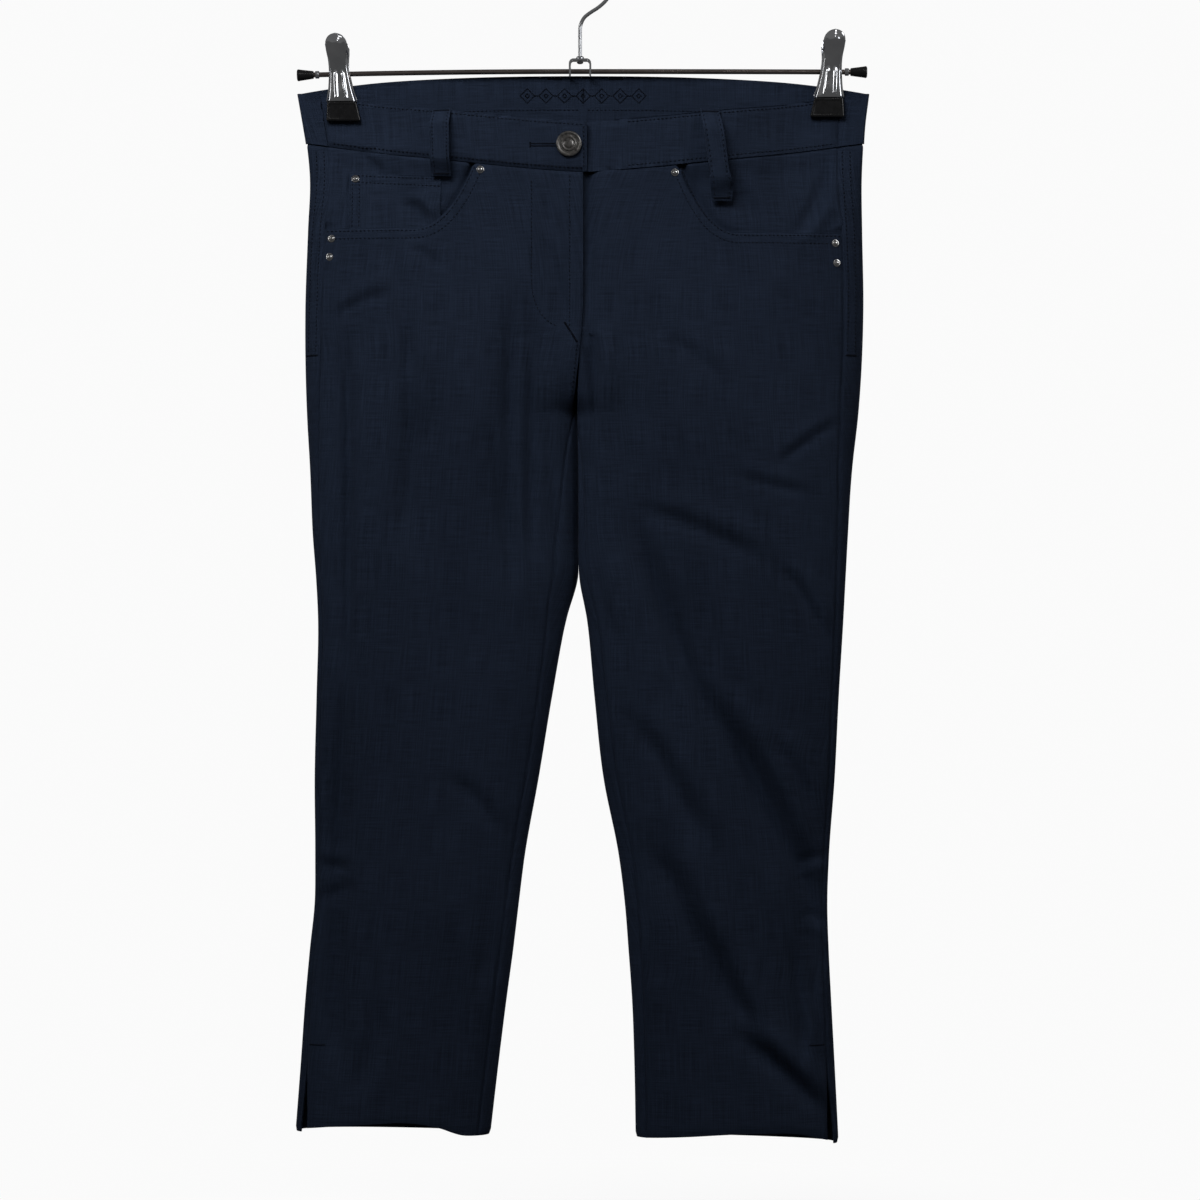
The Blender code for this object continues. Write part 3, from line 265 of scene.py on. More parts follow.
# Troughs in the cloth, each along a line that bows sideways, with a ridge beside it
CREASES = np.array([
    # face, x, drop, to_x, to_drop, width, deep, ridge, bow
    # the largest folds
    (FRONT, 45.0, 345.0, 165.0, 610.0, 17.0, 4.0, 0.0, 0.0),
    (FRONT, 60.0, 575.0, 120.0, 715.0, 15.0, 2.5, 0.0, 0.0),
    (FRONT, 172.0, 570.0, 175.0, 700.0, 11.0, 3.0, 0.0, 0.0),
    (FRONT, -172.0, 190.0, -175.0, 440.0, 13.0, 3.0, 0.0, 0.0),
    (FRONT, -180.0, 490.0, -182.0, 740.0, 12.0, 3.0, 0.0, 0.0),
    (FRONT, -42.0, 180.0, -38.0, 370.0, 18.0, 3.5, 0.0, 0.0),
    (FRONT, -120.0, 250.0, -128.0, 360.0, 16.0, 2.5, 0.0, 0.0),
    (BACK, -60.0, 250.0, -140.0, 470.0, 18.0, 4.0, 0.0, 0.0),
    (BACK, 60.0, 240.0, 130.0, 420.0, 18.0, 4.0, 0.0, 0.0),
    (BACK, -130.0, 520.0, -120.0, 720.0, 15.0, 3.0, 0.0, 0.0),
    (BACK, 110.0, 500.0, 90.0, 740.0, 15.0, 3.5, 0.0, 0.0),
    # drag lines down the right leg
    (FRONT, 46.0, 350.0, 104.0, 500.0, 7.0, 2.4, 0.9, -4.0),
    (FRONT, 104.0, 480.0, 176.0, 632.0, 8.0, 2.8, 1.0, 5.0),
    (FRONT, 48.0, 330.0, 136.0, 368.0, 6.5, 1.2, 0.8, 3.0),
    (FRONT, 150.0, 372.0, 186.0, 430.0, 5.0, 1.6, 0.8, 2.0),
    (FRONT, 118.0, 304.0, 172.0, 317.0, 4.0, 0.8, 0.8, -2.0),
    (FRONT, 150.0, 295.0, 196.0, 264.0, 4.0, 1.1, 0.6, 2.0),
    (FRONT, 38.0, 486.0, 92.0, 580.0, 8.0, 2.0, 0.7, 4.0),
    (FRONT, 54.0, 586.0, 92.0, 660.0, 8.0, 1.9, 0.8, 3.0),
    (FRONT, 88.0, 640.0, 138.0, 728.0, 7.0, 2.0, 0.8, -3.0),
    (FRONT, 118.0, 722.0, 184.0, 784.0, 7.0, 2.8, 1.0, 3.0),
    (FRONT, 158.0, 655.0, 166.0, 742.0, 5.0, 1.8, 0.7, 3.0),
    (FRONT, 174.0, 676.0, 182.0, 728.0, 3.6, 1.4, 0.7, -2.0),
    (FRONT, 9.0, 200.0, 16.0, 280.0, 4.5, 2.2, 0.7, 1.0),
    (FRONT, 56.0, 168.0, 60.0, 204.0, 5.0, 0.8, 0.4, 0.0),
    (FRONT, 66.0, 202.0, 108.0, 236.0, 5.0, 0.9, 0.5, 2.0),
    (FRONT, 14.0, 370.0, 26.0, 430.0, 5.0, 1.2, 0.6, 0.0),
    (FRONT, 60.0, 452.0, 74.0, 520.0, 7.0, 1.0, 0.5, 2.0),
    (FRONT, 140.0, 500.0, 178.0, 560.0, 7.0, 1.5, 0.7, 2.0),
    # long vertical folds on the left leg
    (FRONT, -174.0, 200.0, -175.0, 500.0, 4.5, 1.7, 0.9, 1.5),
    (FRONT, -179.0, 470.0, -186.0, 640.0, 6.0, 1.6, 0.7, 2.0),
    (FRONT, -184.0, 625.0, -180.0, 745.0, 8.0, 1.8, 0.7, -3.0),
    (FRONT, -143.0, 128.0, -124.0, 232.0, 6.0, 1.2, 0.5, 2.0),
    (FRONT, -131.0, 190.0, -129.0, 330.0, 4.5, 1.5, 0.8, 2.0),
    (FRONT, -124.0, 200.0, -120.0, 300.0, 3.5, 1.1, 0.6, 1.0),
    (FRONT, -182.0, 186.0, -144.0, 168.0, 4.5, 1.0, 0.5, 2.0),
    (FRONT, -124.0, 135.0, -104.0, 148.0, 4.0, 0.7, 0.4, 0.0),
    (FRONT, -68.0, 268.0, -56.0, 356.0, 5.5, 1.4, 0.6, 2.0),
    (FRONT, -51.0, 180.0, -50.0, 400.0, 5.0, 1.8, 0.8, -2.0),
    (FRONT, -38.0, 190.0, -36.0, 350.0, 4.5, 1.3, 0.6, 2.0),
    (FRONT, -25.0, 262.0, -14.0, 372.0, 6.0, 1.6, 0.7, 2.0),
    (FRONT, -97.0, 530.0, -58.0, 574.0, 7.0, 1.2, 0.5, 3.0),
    (FRONT, -68.0, 620.0, -78.0, 705.0, 8.0, 1.5, 0.6, 2.0),
    (FRONT, -94.0, 640.0, -88.0, 742.0, 9.0, 1.2, 0.5, -2.0),
    (FRONT, -150.0, 700.0, -168.0, 770.0, 8.0, 1.3, 0.5, 3.0),
    (FRONT, -26.0, 95.0, -21.0, 142.0, 4.0, 0.8, 0.5, 0.0),
    (FRONT, -30.0, 126.0, -7.0, 196.0, 4.5, 1.0, 0.6, 2.0),
    # tugs at the side seams and in the pockets
    (FRONT, -199.0, 595.0, -172.0, 599.0, 4.5, 1.1, 0.8, 0.0),
    (FRONT, -199.0, 622.0, -168.0, 612.0, 5.0, 0.9, 0.8, 0.0),
    (FRONT, 188.0, 587.0, 164.0, 594.0, 4.0, 1.3, 0.8, 0.0),
    (FRONT, 188.0, 640.0, 168.0, 632.0, 4.0, 1.3, 0.8, 0.0),
    (FRONT, -166.0, 60.0, -150.0, 78.0, 4.0, 1.3, 0.8, 0.0),
    (FRONT, -130.0, 100.0, -114.0, 118.0, 4.5, 1.7, 0.9, 2.0),
    (FRONT, 184.0, 78.0, 162.0, 124.0, 5.0, 1.7, 0.8, 3.0),
    (FRONT, 112.0, 84.0, 132.0, 112.0, 6.0, 1.1, 0.6, 0.0),
    # folds on the back of the legs and under the seat
    (BACK, -14.0, 236.0, -92.0, 304.0, 7.0, 2.4, 0.9, 4.0),
    (BACK, -10.0, 264.0, -70.0, 352.0, 7.0, 1.8, 0.8, 5.0),
    (BACK, -96.0, 318.0, -168.0, 372.0, 8.0, 1.8, 0.7, 4.0),
    (BACK, -186.0, 230.0, -178.0, 420.0, 6.0, 1.7, 0.7, 2.0),
    (BACK, -112.0, 380.0, -124.0, 540.0, 7.0, 1.8, 0.8, 3.0),
    (BACK, -150.0, 470.0, -164.0, 612.0, 8.0, 1.6, 0.7, 2.0),
    (BACK, -84.0, 640.0, -116.0, 752.0, 8.0, 1.6, 0.7, 3.0),
    (BACK, -178.0, 660.0, -150.0, 756.0, 7.0, 1.5, 0.7, -2.0),
    (BACK, 12.0, 232.0, 84.0, 296.0, 7.0, 2.2, 0.9, -4.0),
    (BACK, 14.0, 262.0, 96.0, 370.0, 8.0, 2.0, 0.8, -5.0),
    (BACK, 108.0, 330.0, 178.0, 396.0, 7.0, 1.7, 0.7, -3.0),
    (BACK, 182.0, 240.0, 172.0, 408.0, 6.0, 1.5, 0.7, 2.0),
    (BACK, 74.0, 452.0, 108.0, 596.0, 8.0, 1.9, 0.8, 3.0),
    (BACK, 140.0, 498.0, 150.0, 660.0, 8.0, 1.6, 0.7, 2.0),
    (BACK, 64.0, 650.0, 96.0, 748.0, 7.0, 1.5, 0.7, 3.0),
    (BACK, 168.0, 676.0, 140.0, 764.0, 7.0, 1.7, 0.7, -2.0),
    (BACK, -70.0, 96.0, -40.0, 210.0, 16.0, 1.4, 0.4, 6.0),
    (BACK, 72.0, 92.0, 48.0, 206.0, 15.0, 1.4, 0.4, -6.0),
], dtype=[(name, float) for name in (
    "face", "x", "drop", "to_x", "to_drop", "width", "deep", "ridge", "bow")])


def along(table, name, at, key="drop"):
    """A column of a table at the given places, on a smooth curve through its rows."""
    knots, values = table[key], table[name]
    slopes = np.gradient(values, knots)
    at = np.clip(at, knots[0], knots[-1])
    i = np.clip(np.searchsorted(knots, at) - 1, 0, len(knots) - 2)
    span = knots[i + 1] - knots[i]
    t = (at - knots[i]) / span
    start = (1 + 2 * t) * (1 - t) ** 2 * values[i] + t * (1 - t) ** 2 * span * slopes[i]
    end = t * t * (3 - 2 * t) * values[i + 1] + t * t * (t - 1) * span * slopes[i + 1]
    return start + end


def smooth_step(value, low, high):
    t = np.clip((value - low) / (high - low), 0.0, 1.0)
    return t * t * (3 - 2 * t)


def leg_section(leg, drop):
    """The sizes of a leg's oval at a drop. Above the fork the ovals run past the middle, cut there."""
    side = SIDE_NAME[leg]
    out = along(OUTLINE, side + "_out", drop)
    middle = along(OUTLINE, "middle", drop)
    height = np.maximum(FORK_DROP - drop, 0.0)
    sizes = {"out": out, "middle": middle}
    below = drop >= FORK_DROP
    leg_in = leg * np.maximum(leg * along(OUTLINE, side + "_in", drop), leg * middle + INNER_THIGH_GAP)
    for face, rise in ((FRONT, FRONT_RISE), (BACK, BACK_RISE)):
        open_share = np.sqrt(1 - (1 - np.clip(height / rise, 0.0, 1.0)) ** 3)
        gap = SEAM_GAP / 2 + (INNER_THIGH_GAP - SEAM_GAP / 2) * (1 - open_share) ** 2
        cut = np.maximum(1 - open_share ** ROUNDNESS, 1e-9) ** (1 / ROUNDNESS)
        sizes["edge", face] = np.where(below, leg_in, middle + leg * gap)
        sizes["cut", face] = np.where(below, 1.0, np.maximum(cut, 0.02))
    sizes["heart"] = sizes["edge", FRONT] + along(OUTLINE, "heart", drop) * (out - sizes["edge", FRONT])
    sizes["deep", FRONT] = along(OUTLINE, "front", drop)
    sizes["deep", BACK] = along(OUTLINE, "back", drop)
    return sizes


def crease_depth(face, x, drop):
    """How far the creases on a face press the cloth in, less the ridges that stand beside them."""
    creases = CREASES[CREASES["face"] == face]
    x, drop = (values[..., None] for values in np.broadcast_arrays(x, drop))
    run_x, run_drop = creases["to_x"] - creases["x"], creases["to_drop"] - creases["drop"]
    length = np.hypot(run_x, run_drop)
    t = ((x - creases["x"]) * run_x + (drop - creases["drop"]) * run_drop) / length ** 2
    aside = ((x - creases["x"]) * run_drop - (drop - creases["drop"]) * run_x) / length
    aside = aside - 4 * creases["bow"] * t * (1 - t)
    fade = smooth_step(t, -0.15, 0.25) * (1 - smooth_step(t, 0.7, 1.15))
    trough = np.exp(-(aside / creases["width"]) ** 2)
    shoulder = np.exp(-((aside - 1.9 * creases["width"]) / (1.3 * creases["width"])) ** 2)
    return (CREASE_DEPTH * creases["deep"] * fade * (trough - creases["ridge"] * shoulder)).sum(axis=-1)


def leg_surface(leg, turn, drop):
    """Middle of the cloth. turn is in quarters: 0 outer edge, 1 front, 2 inner edge, 3 back."""
    turn, drop = np.broadcast_arrays(np.mod(turn, 4.0), np.asarray(drop, float))
    sizes = leg_section(leg, drop)
    face = np.where(turn < 2, FRONT, BACK)
    outer_half = (turn < 1) | (turn >= 3)
    from_heart = np.abs(np.where(turn < 2, turn - 1, turn - 3)) * pi / 2
    edge = np.where(turn < 2, sizes["edge", FRONT], sizes["edge", BACK])
    cut = np.where(turn < 2, sizes["cut", FRONT], sizes["cut", BACK])
    reach = np.where(outer_half, sizes["out"] - sizes["heart"], (edge - sizes["heart"]) / cut)
    x = sizes["heart"] + reach * np.abs(np.sin(from_heart)) ** (2 / ROUNDNESS)
    full = np.where(turn < 2, sizes["deep", FRONT], sizes["deep", BACK])
    share = np.abs(np.cos(from_heart)) ** (2 / ROUNDNESS)
    deep = full * share
    from_clip = np.maximum(np.abs(x - CLIP_X[leg]) - PINCH_FLAT, 0.0)
    pinch = np.exp(-(from_clip / PINCH_REACH) ** 2)
    pinch = pinch * np.exp(-(np.maximum(drop - PINCH_FOOT, 0.0) / PINCH_FADE) ** 2)
    deep = deep * (1 - pinch) + np.minimum(deep, BAND_WALL / 2 + 0.45) * pinch
    creases = np.where(turn < 2, crease_depth(FRONT, x, drop), crease_depth(BACK, x, drop))
    y = face * (deep - creases * share)
    near_middle = np.exp(-((x - sizes["middle"]) / 40.0) ** 2)
    near_fork = smooth_step(drop, 190.0, FORK_DROP) * (1 - smooth_step(drop, 380.0, 430.0))
    return x + THIGH_SHEAR * np.tanh(y / THIGH_BEND) * near_middle * near_fork, y, drop


def outward(leg, turn, drop):
    """Unit normal of the cloth, out of the garment, as x, y and drop."""
    step_turn, step_drop = 0.002, 0.4
    across = np.subtract(leg_surface(leg, turn + step_turn, drop), leg_surface(leg, turn - step_turn, drop))
    down = np.subtract(leg_surface(leg, turn, drop + step_drop), leg_surface(leg, turn, drop - step_drop))
    normal = leg * np.stack([across[2] * down[1] - across[1] * down[2],
                             across[0] * down[2] - across[2] * down[0],
                             across[1] * down[0] - across[0] * down[1]])
    return normal / np.linalg.norm(normal, axis=0)


def turn_at(leg, x, drop, face=FRONT):
    """The turn at which a leg's front or back passes x."""
    sizes = leg_section(leg, drop)
    outer_half = leg * (x - sizes["heart"]) > 0
    reach = np.where(outer_half, sizes["out"] - sizes["heart"],
                     (sizes["edge", face] - sizes["heart"]) / sizes["cut", face])
    share = np.clip((x - sizes["heart"]) / reach, 0.0, 1.0)
    away = np.arcsin(share ** (ROUNDNESS / 2)) / (pi / 2)
    towards_inner = np.where(outer_half, -away, away)
    return 1 + towards_inner if face == FRONT else -1 - towards_inner


def side_seam(leg, drop):
    side = SIDE_NAME[leg]
    return along(OUTLINE, side + "_out", drop) - leg * along(SEAMS, side + "_side", drop)


def inner_seam(leg, drop):
    """The middle above the fork, the inseam below it."""
    sizes = leg_section(leg, drop)
    return sizes["edge", FRONT] + leg * along(SEAMS, SIDE_NAME[leg] + "_inseam", drop)


def inseam_gap(drop):
    """Half the gap between front and back along the inseam, wider where it turns over the fork."""
    return SEAM_GAP / 2 * smooth_step(drop, FORK_DROP - 1.0, FORK_DROP + 6.0)


def slit_gap(drop):
    return SEAM_GAP / 2 + SLIT_HALF_GAP * smooth_step(drop, SLIT_DROP, HEM_DROP + 10.0)


def rim(x, face):
    """Drop of the waistband's top edge."""
    half = np.where(x < MIDDLE_AT_WAIST, WAIST_HALF[LEFT], WAIST_HALF[RIGHT])
    across = np.clip(np.abs(x - MIDDLE_AT_WAIST) / half, 0.0, 1.0)
    if face == FRONT:
        return RIM_FRONT + (RIM_SIDE - RIM_FRONT) * across ** 1.35
    return RIM_BACK + (RIM_SIDE - RIM_BACK) * across ** 3


def waist_seam(x, face):
    return rim(x, face) + BAND_HEIGHT


def pocket_mouth(leg, x):
    """Drop of a front's top edge: the waist seam, then the scooped pocket mouth."""
    pocket = POCKET[leg]
    seam = waist_seam(x, FRONT)
    t = np.clip(leg * (x - pocket["mouth"]) / pocket["width"], 0.0, 1.0)
    start = waist_seam(pocket["mouth"], FRONT)
    scoop = start + (pocket["foot"] - start) * (1 - (1 - t) ** POCKET_CURVE)
    return np.where(leg * (x - pocket["mouth"]) > 0, np.maximum(scoop, start), seam)


def in_row_frame(x, y, drop):
    """Metres, from a place in millimetres below the bar."""
    return np.stack([x * MM, y * MM, (BAR_HEIGHT - drop) * MM], axis=-1)


SEAM_DITCH, SEAM_ROLL = 0.85, 1.5


def ditch(x, y, drop):
    """How far a sheet rolls in towards its seams, from the distance of each point to the edges."""
    place = np.stack([x, y, drop])
    depth = 0.0
    for axis in (1, 2):
        step = np.linalg.norm(np.diff(place, axis=axis), axis=0)
        start = np.zeros(x.shape)
        start[(slice(None),) * (axis - 1) + (slice(1, None),)] = np.cumsum(step, axis=axis - 1)
        end = np.take(start, [-1], axis=axis - 1) - start
        depth = depth + np.exp(-(start / SEAM_ROLL) ** 2) + np.exp(-(end / SEAM_ROLL) ** 2)
    return SEAM_DITCH * np.minimum(depth, 1.0)


def layer(leg, turn, drop, thickness, lift=0.0, limit=None, rolled=True):
    """Outer and inner points of a wall on the cloth, lifted and kept on its side of x = limit."""
    x, y, drop = leg_surface(leg, turn, drop)
    normal = outward(leg, turn, drop)
    if rolled:
        lift = lift - ditch(x, y, drop)
    sides = []
    for offset in (lift + thickness / 2, lift - thickness / 2):
        point_x = x + normal[0] * offset
        if limit is not None:
            point_x = leg * np.maximum(leg * point_x, leg * limit)
        sides.append(in_row_frame(point_x, y + normal[1] * offset, drop + normal[2] * offset))
    return sides


def finish_mesh(name, bm, finish, sharp=40.0):
    """A smooth-shaded object from a bmesh, sharp where its faces meet at more than an angle."""
    bmesh.ops.recalc_face_normals(bm, faces=bm.faces)
    mesh = bpy.data.meshes.new(name)
    bm.to_mesh(mesh)
    bm.free()
    mesh.shade_smooth()
    mesh.set_sharp_from_angle(angle=radians(sharp))
    mesh.materials.append(finish)
    made = bpy.data.objects.new(name, mesh)
    bpy.context.scene.collection.objects.link(made)
    return made


def sew_wall(name, sides, finish, edge=0.3):
    """A sheet of cloth between two grids of points, columns x rows, with softened cut edges.
    Its UV map, called cut, is the sheet laid flat: metres across the grain and down it."""
    outer, inner = sides
    columns, rows = outer.shape[0] - 1, outer.shape[1] - 1
    across = np.zeros(outer.shape[:2])
    across[1:] = np.cumsum(np.linalg.norm(np.diff(outer, axis=0), axis=2), axis=0)
    across -= across[columns // 2]
    bm = bmesh.new()
    bmesh.ops.create_grid(bm, x_segments=columns, y_segments=rows, size=0.5)
    grown = bmesh.ops.extrude_face_region(bm, geom=bm.faces[:])
    for vert in grown["geom"]:
        if isinstance(vert, bmesh.types.BMVert):
            vert.co.z = 1.0
    cut = bm.loops.layers.uv.new("cut")
    for vert in bm.verts:
        column = round((vert.co.x + 0.5) * columns)
        row = round((0.5 - vert.co.y) * rows)
        vert.co = (inner if vert.co.z > 0.5 else outer)[column, row]
        for loop in vert.link_loops:
            loop[cut].uv = (across[column, row], vert.co.z)
    if edge:
        corners = [e for e in bm.edges if len(e.link_faces) == 2 and e.calc_face_angle(0.0) > radians(60)]
        bmesh.ops.bevel(bm, geom=corners, affect="EDGES", offset=edge * MM, segments=2, profile=0.5,
                        material=-1, clamp_overlap=True)
    return finish_mesh(name, bm, finish)


def even_rows(start, end, step):
    return np.linspace(start, end, max(2, round(abs(end - start) / step)) + 1)


def panel_levels(step=3.4):
    """Drops of a panel's rows at the side seam, closer together under the waist seam."""
    return np.concatenate([SIDE_SEAM_TOP + np.array([0.0, 0.7, 1.5, 2.6, 4.4]),
                           even_rows(SIDE_SEAM_TOP + 7.0, HEM_DROP, step)])


def hang(levels, top, hem):
    """Rows of drops for each column, from its own top edge to its own hem, level below the fly."""
    share = np.clip(1 - (levels - levels[0]) / (196.0 - levels[0]), 0.0, 1.0) ** 1.5
    lift = np.clip((levels - SLIT_DROP) / (HEM_DROP - SLIT_DROP), 0.0, 1.0)
    return levels + (top[:, None] - levels[0]) * share + (hem[:, None] - HEM_DROP) * lift


def closer_at_ends(columns):
    """Shares from 0 to 1, closer together at both ends."""
    t = np.linspace(0.0, 1.0, columns + 1)
    return t - 0.65 * np.sin(2 * pi * t) / (2 * pi)


def front_panel(leg, columns=96):
    levels = panel_levels()
    share = closer_at_ends(columns)
    at_top = side_seam(leg, SIDE_SEAM_TOP) * share + MIDDLE_AT_WAIST * (1 - share)
    top = pocket_mouth(leg, at_top) + SEAM_GAP / 2
    hem = along(HEM, SIDE_NAME[leg], 1 - share, key="across")
    drop = hang(levels, top, hem)
    inner = inner_seam(leg, drop) + leg * inseam_gap(drop)
    underlap = FLY_UNDERLAP * (1 - smooth_step(drop, *UNDERLAP_ENDS))
    if leg == RIGHT:
        inner = inner - underlap
    outer = side_seam(leg, drop) - leg * slit_gap(drop)
    x = inner + share[:, None] * (outer - inner)
    lift = np.zeros_like(x)
    limit = along(OUTLINE, "middle", drop) + leg * SEAM_GAP / 2
    if leg == RIGHT:
        near_fly = 1 - smooth_step(x, MIDDLE_AT_WAIST + 4.0, MIDDLE_AT_WAIST + 28.0)
        lift = -FLY_SETBACK * near_fly * (1 - smooth_step(drop, *SETBACK_ENDS))
        groove = np.exp(-((x - MIDDLE_AT_WAIST - 3.5) / 6.0) ** 2) * (1 - smooth_step(drop, 90.0, 262.0))
        lift = lift - FLY_GROOVE * groove
        limit = limit - underlap
    return sew_wall("front_panel_" + SIDE_NAME[leg],
                    layer(leg, turn_at(leg, x, drop), drop, WALL, lift, limit), navy_cloth)


def hang_cloth(piece, flat, area, *nodes, rests_on=("hanger_bar",), slot="navy_cloth"):
    """Attach a sewn piece of cloth to the root and hide the nodes it stands for; its cut, area, what it rests
    on and its slot are not used.
    """
    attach(piece, "root")
    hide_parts(*nodes)
    return piece


FRONT_CUT, FRONT_AREA = (0.215, 0.745), 0.115
front_panels = {}
for leg in (LEFT, RIGHT):
    front_panels[leg] = hang_cloth(front_panel(leg), FRONT_CUT, FRONT_AREA, "front_" + SIDE_NAME[leg])


# ================================================================ the backs of the legs
# Each back is cut in one piece too, wider than the front, so that both seams lie on the front of
# the garment. It starts at the side seam, turns round the edge and ends at the inseam.

def spread(leg, start, end, drop, count):
    """Turns from start to end at one drop, spaced by length and closer where the cloth bends."""
    heart = 1.0 if end > start else -1.0
    share = np.linspace(0.0, 1.0, 161)
    dense = np.concatenate([heart + (start - heart) * (1 - share) ** 1.2,
                            heart + (end - heart) * share[1:] ** 1.2])
    x, y, _ = leg_surface(leg, dense, np.full(dense.shape, drop))
    step_x, step_y = np.diff(x), np.diff(y)
    heading = np.unwrap(np.arctan2(step_y, step_x))
    bend = np.abs(np.gradient(heading))
    length = np.hypot(step_x, step_y)
    from_start = np.cumsum(length)
    near_end = np.exp(-(from_start / 5.0) ** 2) + np.exp(-((from_start[-1] - from_start) / 5.0) ** 2)
    weight = length * (1 + 2.5 * near_end) + 11.0 * bend
    run = np.concatenate([[0.0], np.cumsum(weight)])
    return np.interp(np.linspace(0, run[-1], count + 1), run, dense)


def back_ends(leg, drop):
    """Turns of a back's two edges: its side seam, and its centre seam or inseam."""
    start = turn_at(leg, side_seam(leg, drop) + leg * slit_gap(drop), drop)
    if drop <= FORK_DROP:
        end = turn_at(leg, leg_section(leg, drop)["edge", BACK] + leg * inseam_gap(drop), drop, BACK)
    else:
        end = turn_at(leg, inner_seam(leg, drop) - leg * inseam_gap(drop), drop) - 4.0
    return float(start), float(end)


def back_rim(leg, turn):
    """Drop of the top edge of the waistband's back, which starts on the front of the garment."""
    x = leg_surface(leg, turn, SIDE_SEAM_TOP)[0]
    return np.where(turn >= 0, rim(x, FRONT), rim(x, BACK))


def back_panel(leg, columns=112):
    levels = panel_levels()
    turn = np.stack([spread(leg, *back_ends(leg, drop), drop, columns) for drop in levels], axis=1)
    top = back_rim(leg, turn[:, 0]) + BAND_HEIGHT + SEAM_GAP / 2
    at_slit, at_inseam = HEM[SIDE_NAME[leg]][0] + 3.0, HEM[SIDE_NAME[leg]][-1]
    hem = at_slit + (at_inseam - at_slit) * smooth_step(np.linspace(0.0, 1.0, columns + 1), 0.1, 0.95)
    drop = hang(levels, top, hem)
    limit = along(OUTLINE, "middle", drop) + leg * SEAM_GAP / 2
    return sew_wall("back_panel_" + SIDE_NAME[leg], layer(leg, turn, drop, WALL, 0.0, limit), navy_cloth)


BACK_CUT, BACK_AREA = (0.29, 0.80), 0.162
back_panels = {}
for leg in (LEFT, RIGHT):
    back_panels[leg] = hang_cloth(back_panel(leg), BACK_CUT, BACK_AREA, "back_" + SIDE_NAME[leg])


# ================================================================ pocket facings and coin pocket
# The facings are the hip pieces that close each scooped pocket mouth from behind. The small coin
# pocket is a flat patch sewn to the left one, and its lower half slips inside the pocket.

FACING_UNDERLAP, FACING_LEVEL = 6.5, 90.0
COIN_OUTER_X, COIN_INNER_X, COIN_TOP, COIN_FOOT, COIN_SLOPE = -172.6, -104.0, 76.5, 124.5, 0.07
COIN_WALL, COIN_GROOVE = 0.9, 1.3
MOUTH_HOLLOW, HOLLOW_REACH, HOLLOW_ENDS = 2.4, 3.2, (32.0, 50.0)


def pocket_facing(leg, columns=84, rows=44):
    pocket = POCKET[leg]
    share = closer_at_ends(columns)[:, None]
    near = pocket["mouth"] - leg * FACING_UNDERLAP
    x = near + share * (side_seam(leg, FACING_LEVEL) - near)
    top = waist_seam(x, FRONT) + SEAM_GAP / 2
    foot = pocket["foot"] + FACING_UNDERLAP
    drop = top + closer_at_ends(rows) * (foot - top)
    seam = side_seam(leg, drop) + leg * (3.4 * smooth_step(drop, 104.0, 114.0) - SEAM_GAP / 2)
    x = near + share * (seam - near)
    from_mouth, from_seam = drop - pocket_mouth(leg, x), np.abs(seam - x)
    setback = smooth_step(drop - top, 0.0, 16.0) * smooth_step(from_seam, 0.0, 14.0)
    under_mouth = smooth_step(from_mouth, -8.0, -1.5) * smooth_step(from_seam, -9.0, 5.0)
    setback = pocket["setback"] * np.maximum(setback, under_mouth)
    rise = 1 + np.gradient(pocket_mouth(leg, x), axis=0) ** 2 / np.gradient(x, axis=0) ** 2
    hollow = MOUTH_HOLLOW * np.exp(-(from_mouth ** 2 / rise) / HOLLOW_REACH ** 2)
    hollow = hollow * (1 - smooth_step(leg * (x - pocket["mouth"]), *HOLLOW_ENDS))
    if leg == LEFT:
        beside_coin = np.exp(-((x - COIN_OUTER_X + 1.2) / 1.1) ** 2)
        hollow = hollow + COIN_GROOVE * beside_coin * smooth_step(drop, COIN_TOP - 0.5, COIN_TOP + 5.5)
    sides = layer(leg, turn_at(leg, x, drop), drop, WALL, -setback - hollow)
    return sew_wall("hip_facing_" + SIDE_NAME[leg], sides, navy_cloth)


def coin_pocket(columns=40, rows=34):
    x = COIN_OUTER_X + closer_at_ends(columns)[:, None] * (COIN_INNER_X - COIN_OUTER_X)
    top = COIN_TOP + COIN_SLOPE * (x - COIN_OUTER_X)
    drop = top + closer_at_ends(rows) * (COIN_FOOT - top)
    lift = -POCKET[LEFT]["setback"] / 2
    sides = layer(LEFT, turn_at(LEFT, x, drop), drop, COIN_WALL, lift, rolled=False)
    return sew_wall("coin_patch", sides, navy_cloth)


facings = {}
for leg in (LEFT, RIGHT):
    facings[leg] = hang_cloth(pocket_facing(leg), (0.13, 0.07), None, "pocket_facing_" + SIDE_NAME[leg],
                              rests_on=["waistband_" + SIDE_NAME[leg]])
coin_patch = hang_cloth(coin_pocket(), (0.069, 0.048), None, "coin_pocket", rests_on=["hip_facing_left"])


# ================================================================ the zip's tape
# A strip of fine black tape behind the fly's lap, which only shows as a dark line in its gap.

ZIP_WIDTH, ZIP_TOP, ZIP_FOOT, ZIP_WALL, ZIP_LIFT = 16.0, 82.0, 186.0, 1.0, -5.4


def zip_tape():
    x = np.linspace(-ZIP_WIDTH, 0.0, 9)[:, None]
    drop = np.linspace(ZIP_TOP, ZIP_FOOT, 31) + 0.0 * x
    sides = layer(LEFT, turn_at(LEFT, x, drop), drop, ZIP_WALL, ZIP_LIFT, rolled=False)
    return sew_wall("zip_tape", sides, tape_cloth)


tape_cloth = make_cloth("zip tape", (0.004, 0.005, 0.008), ribs=1200.0, sheen=0.0)
hang_cloth(zip_tape(), (0.022, 0.104), None, "zip", rests_on=["front_panel_left"], slot="zip_tape")


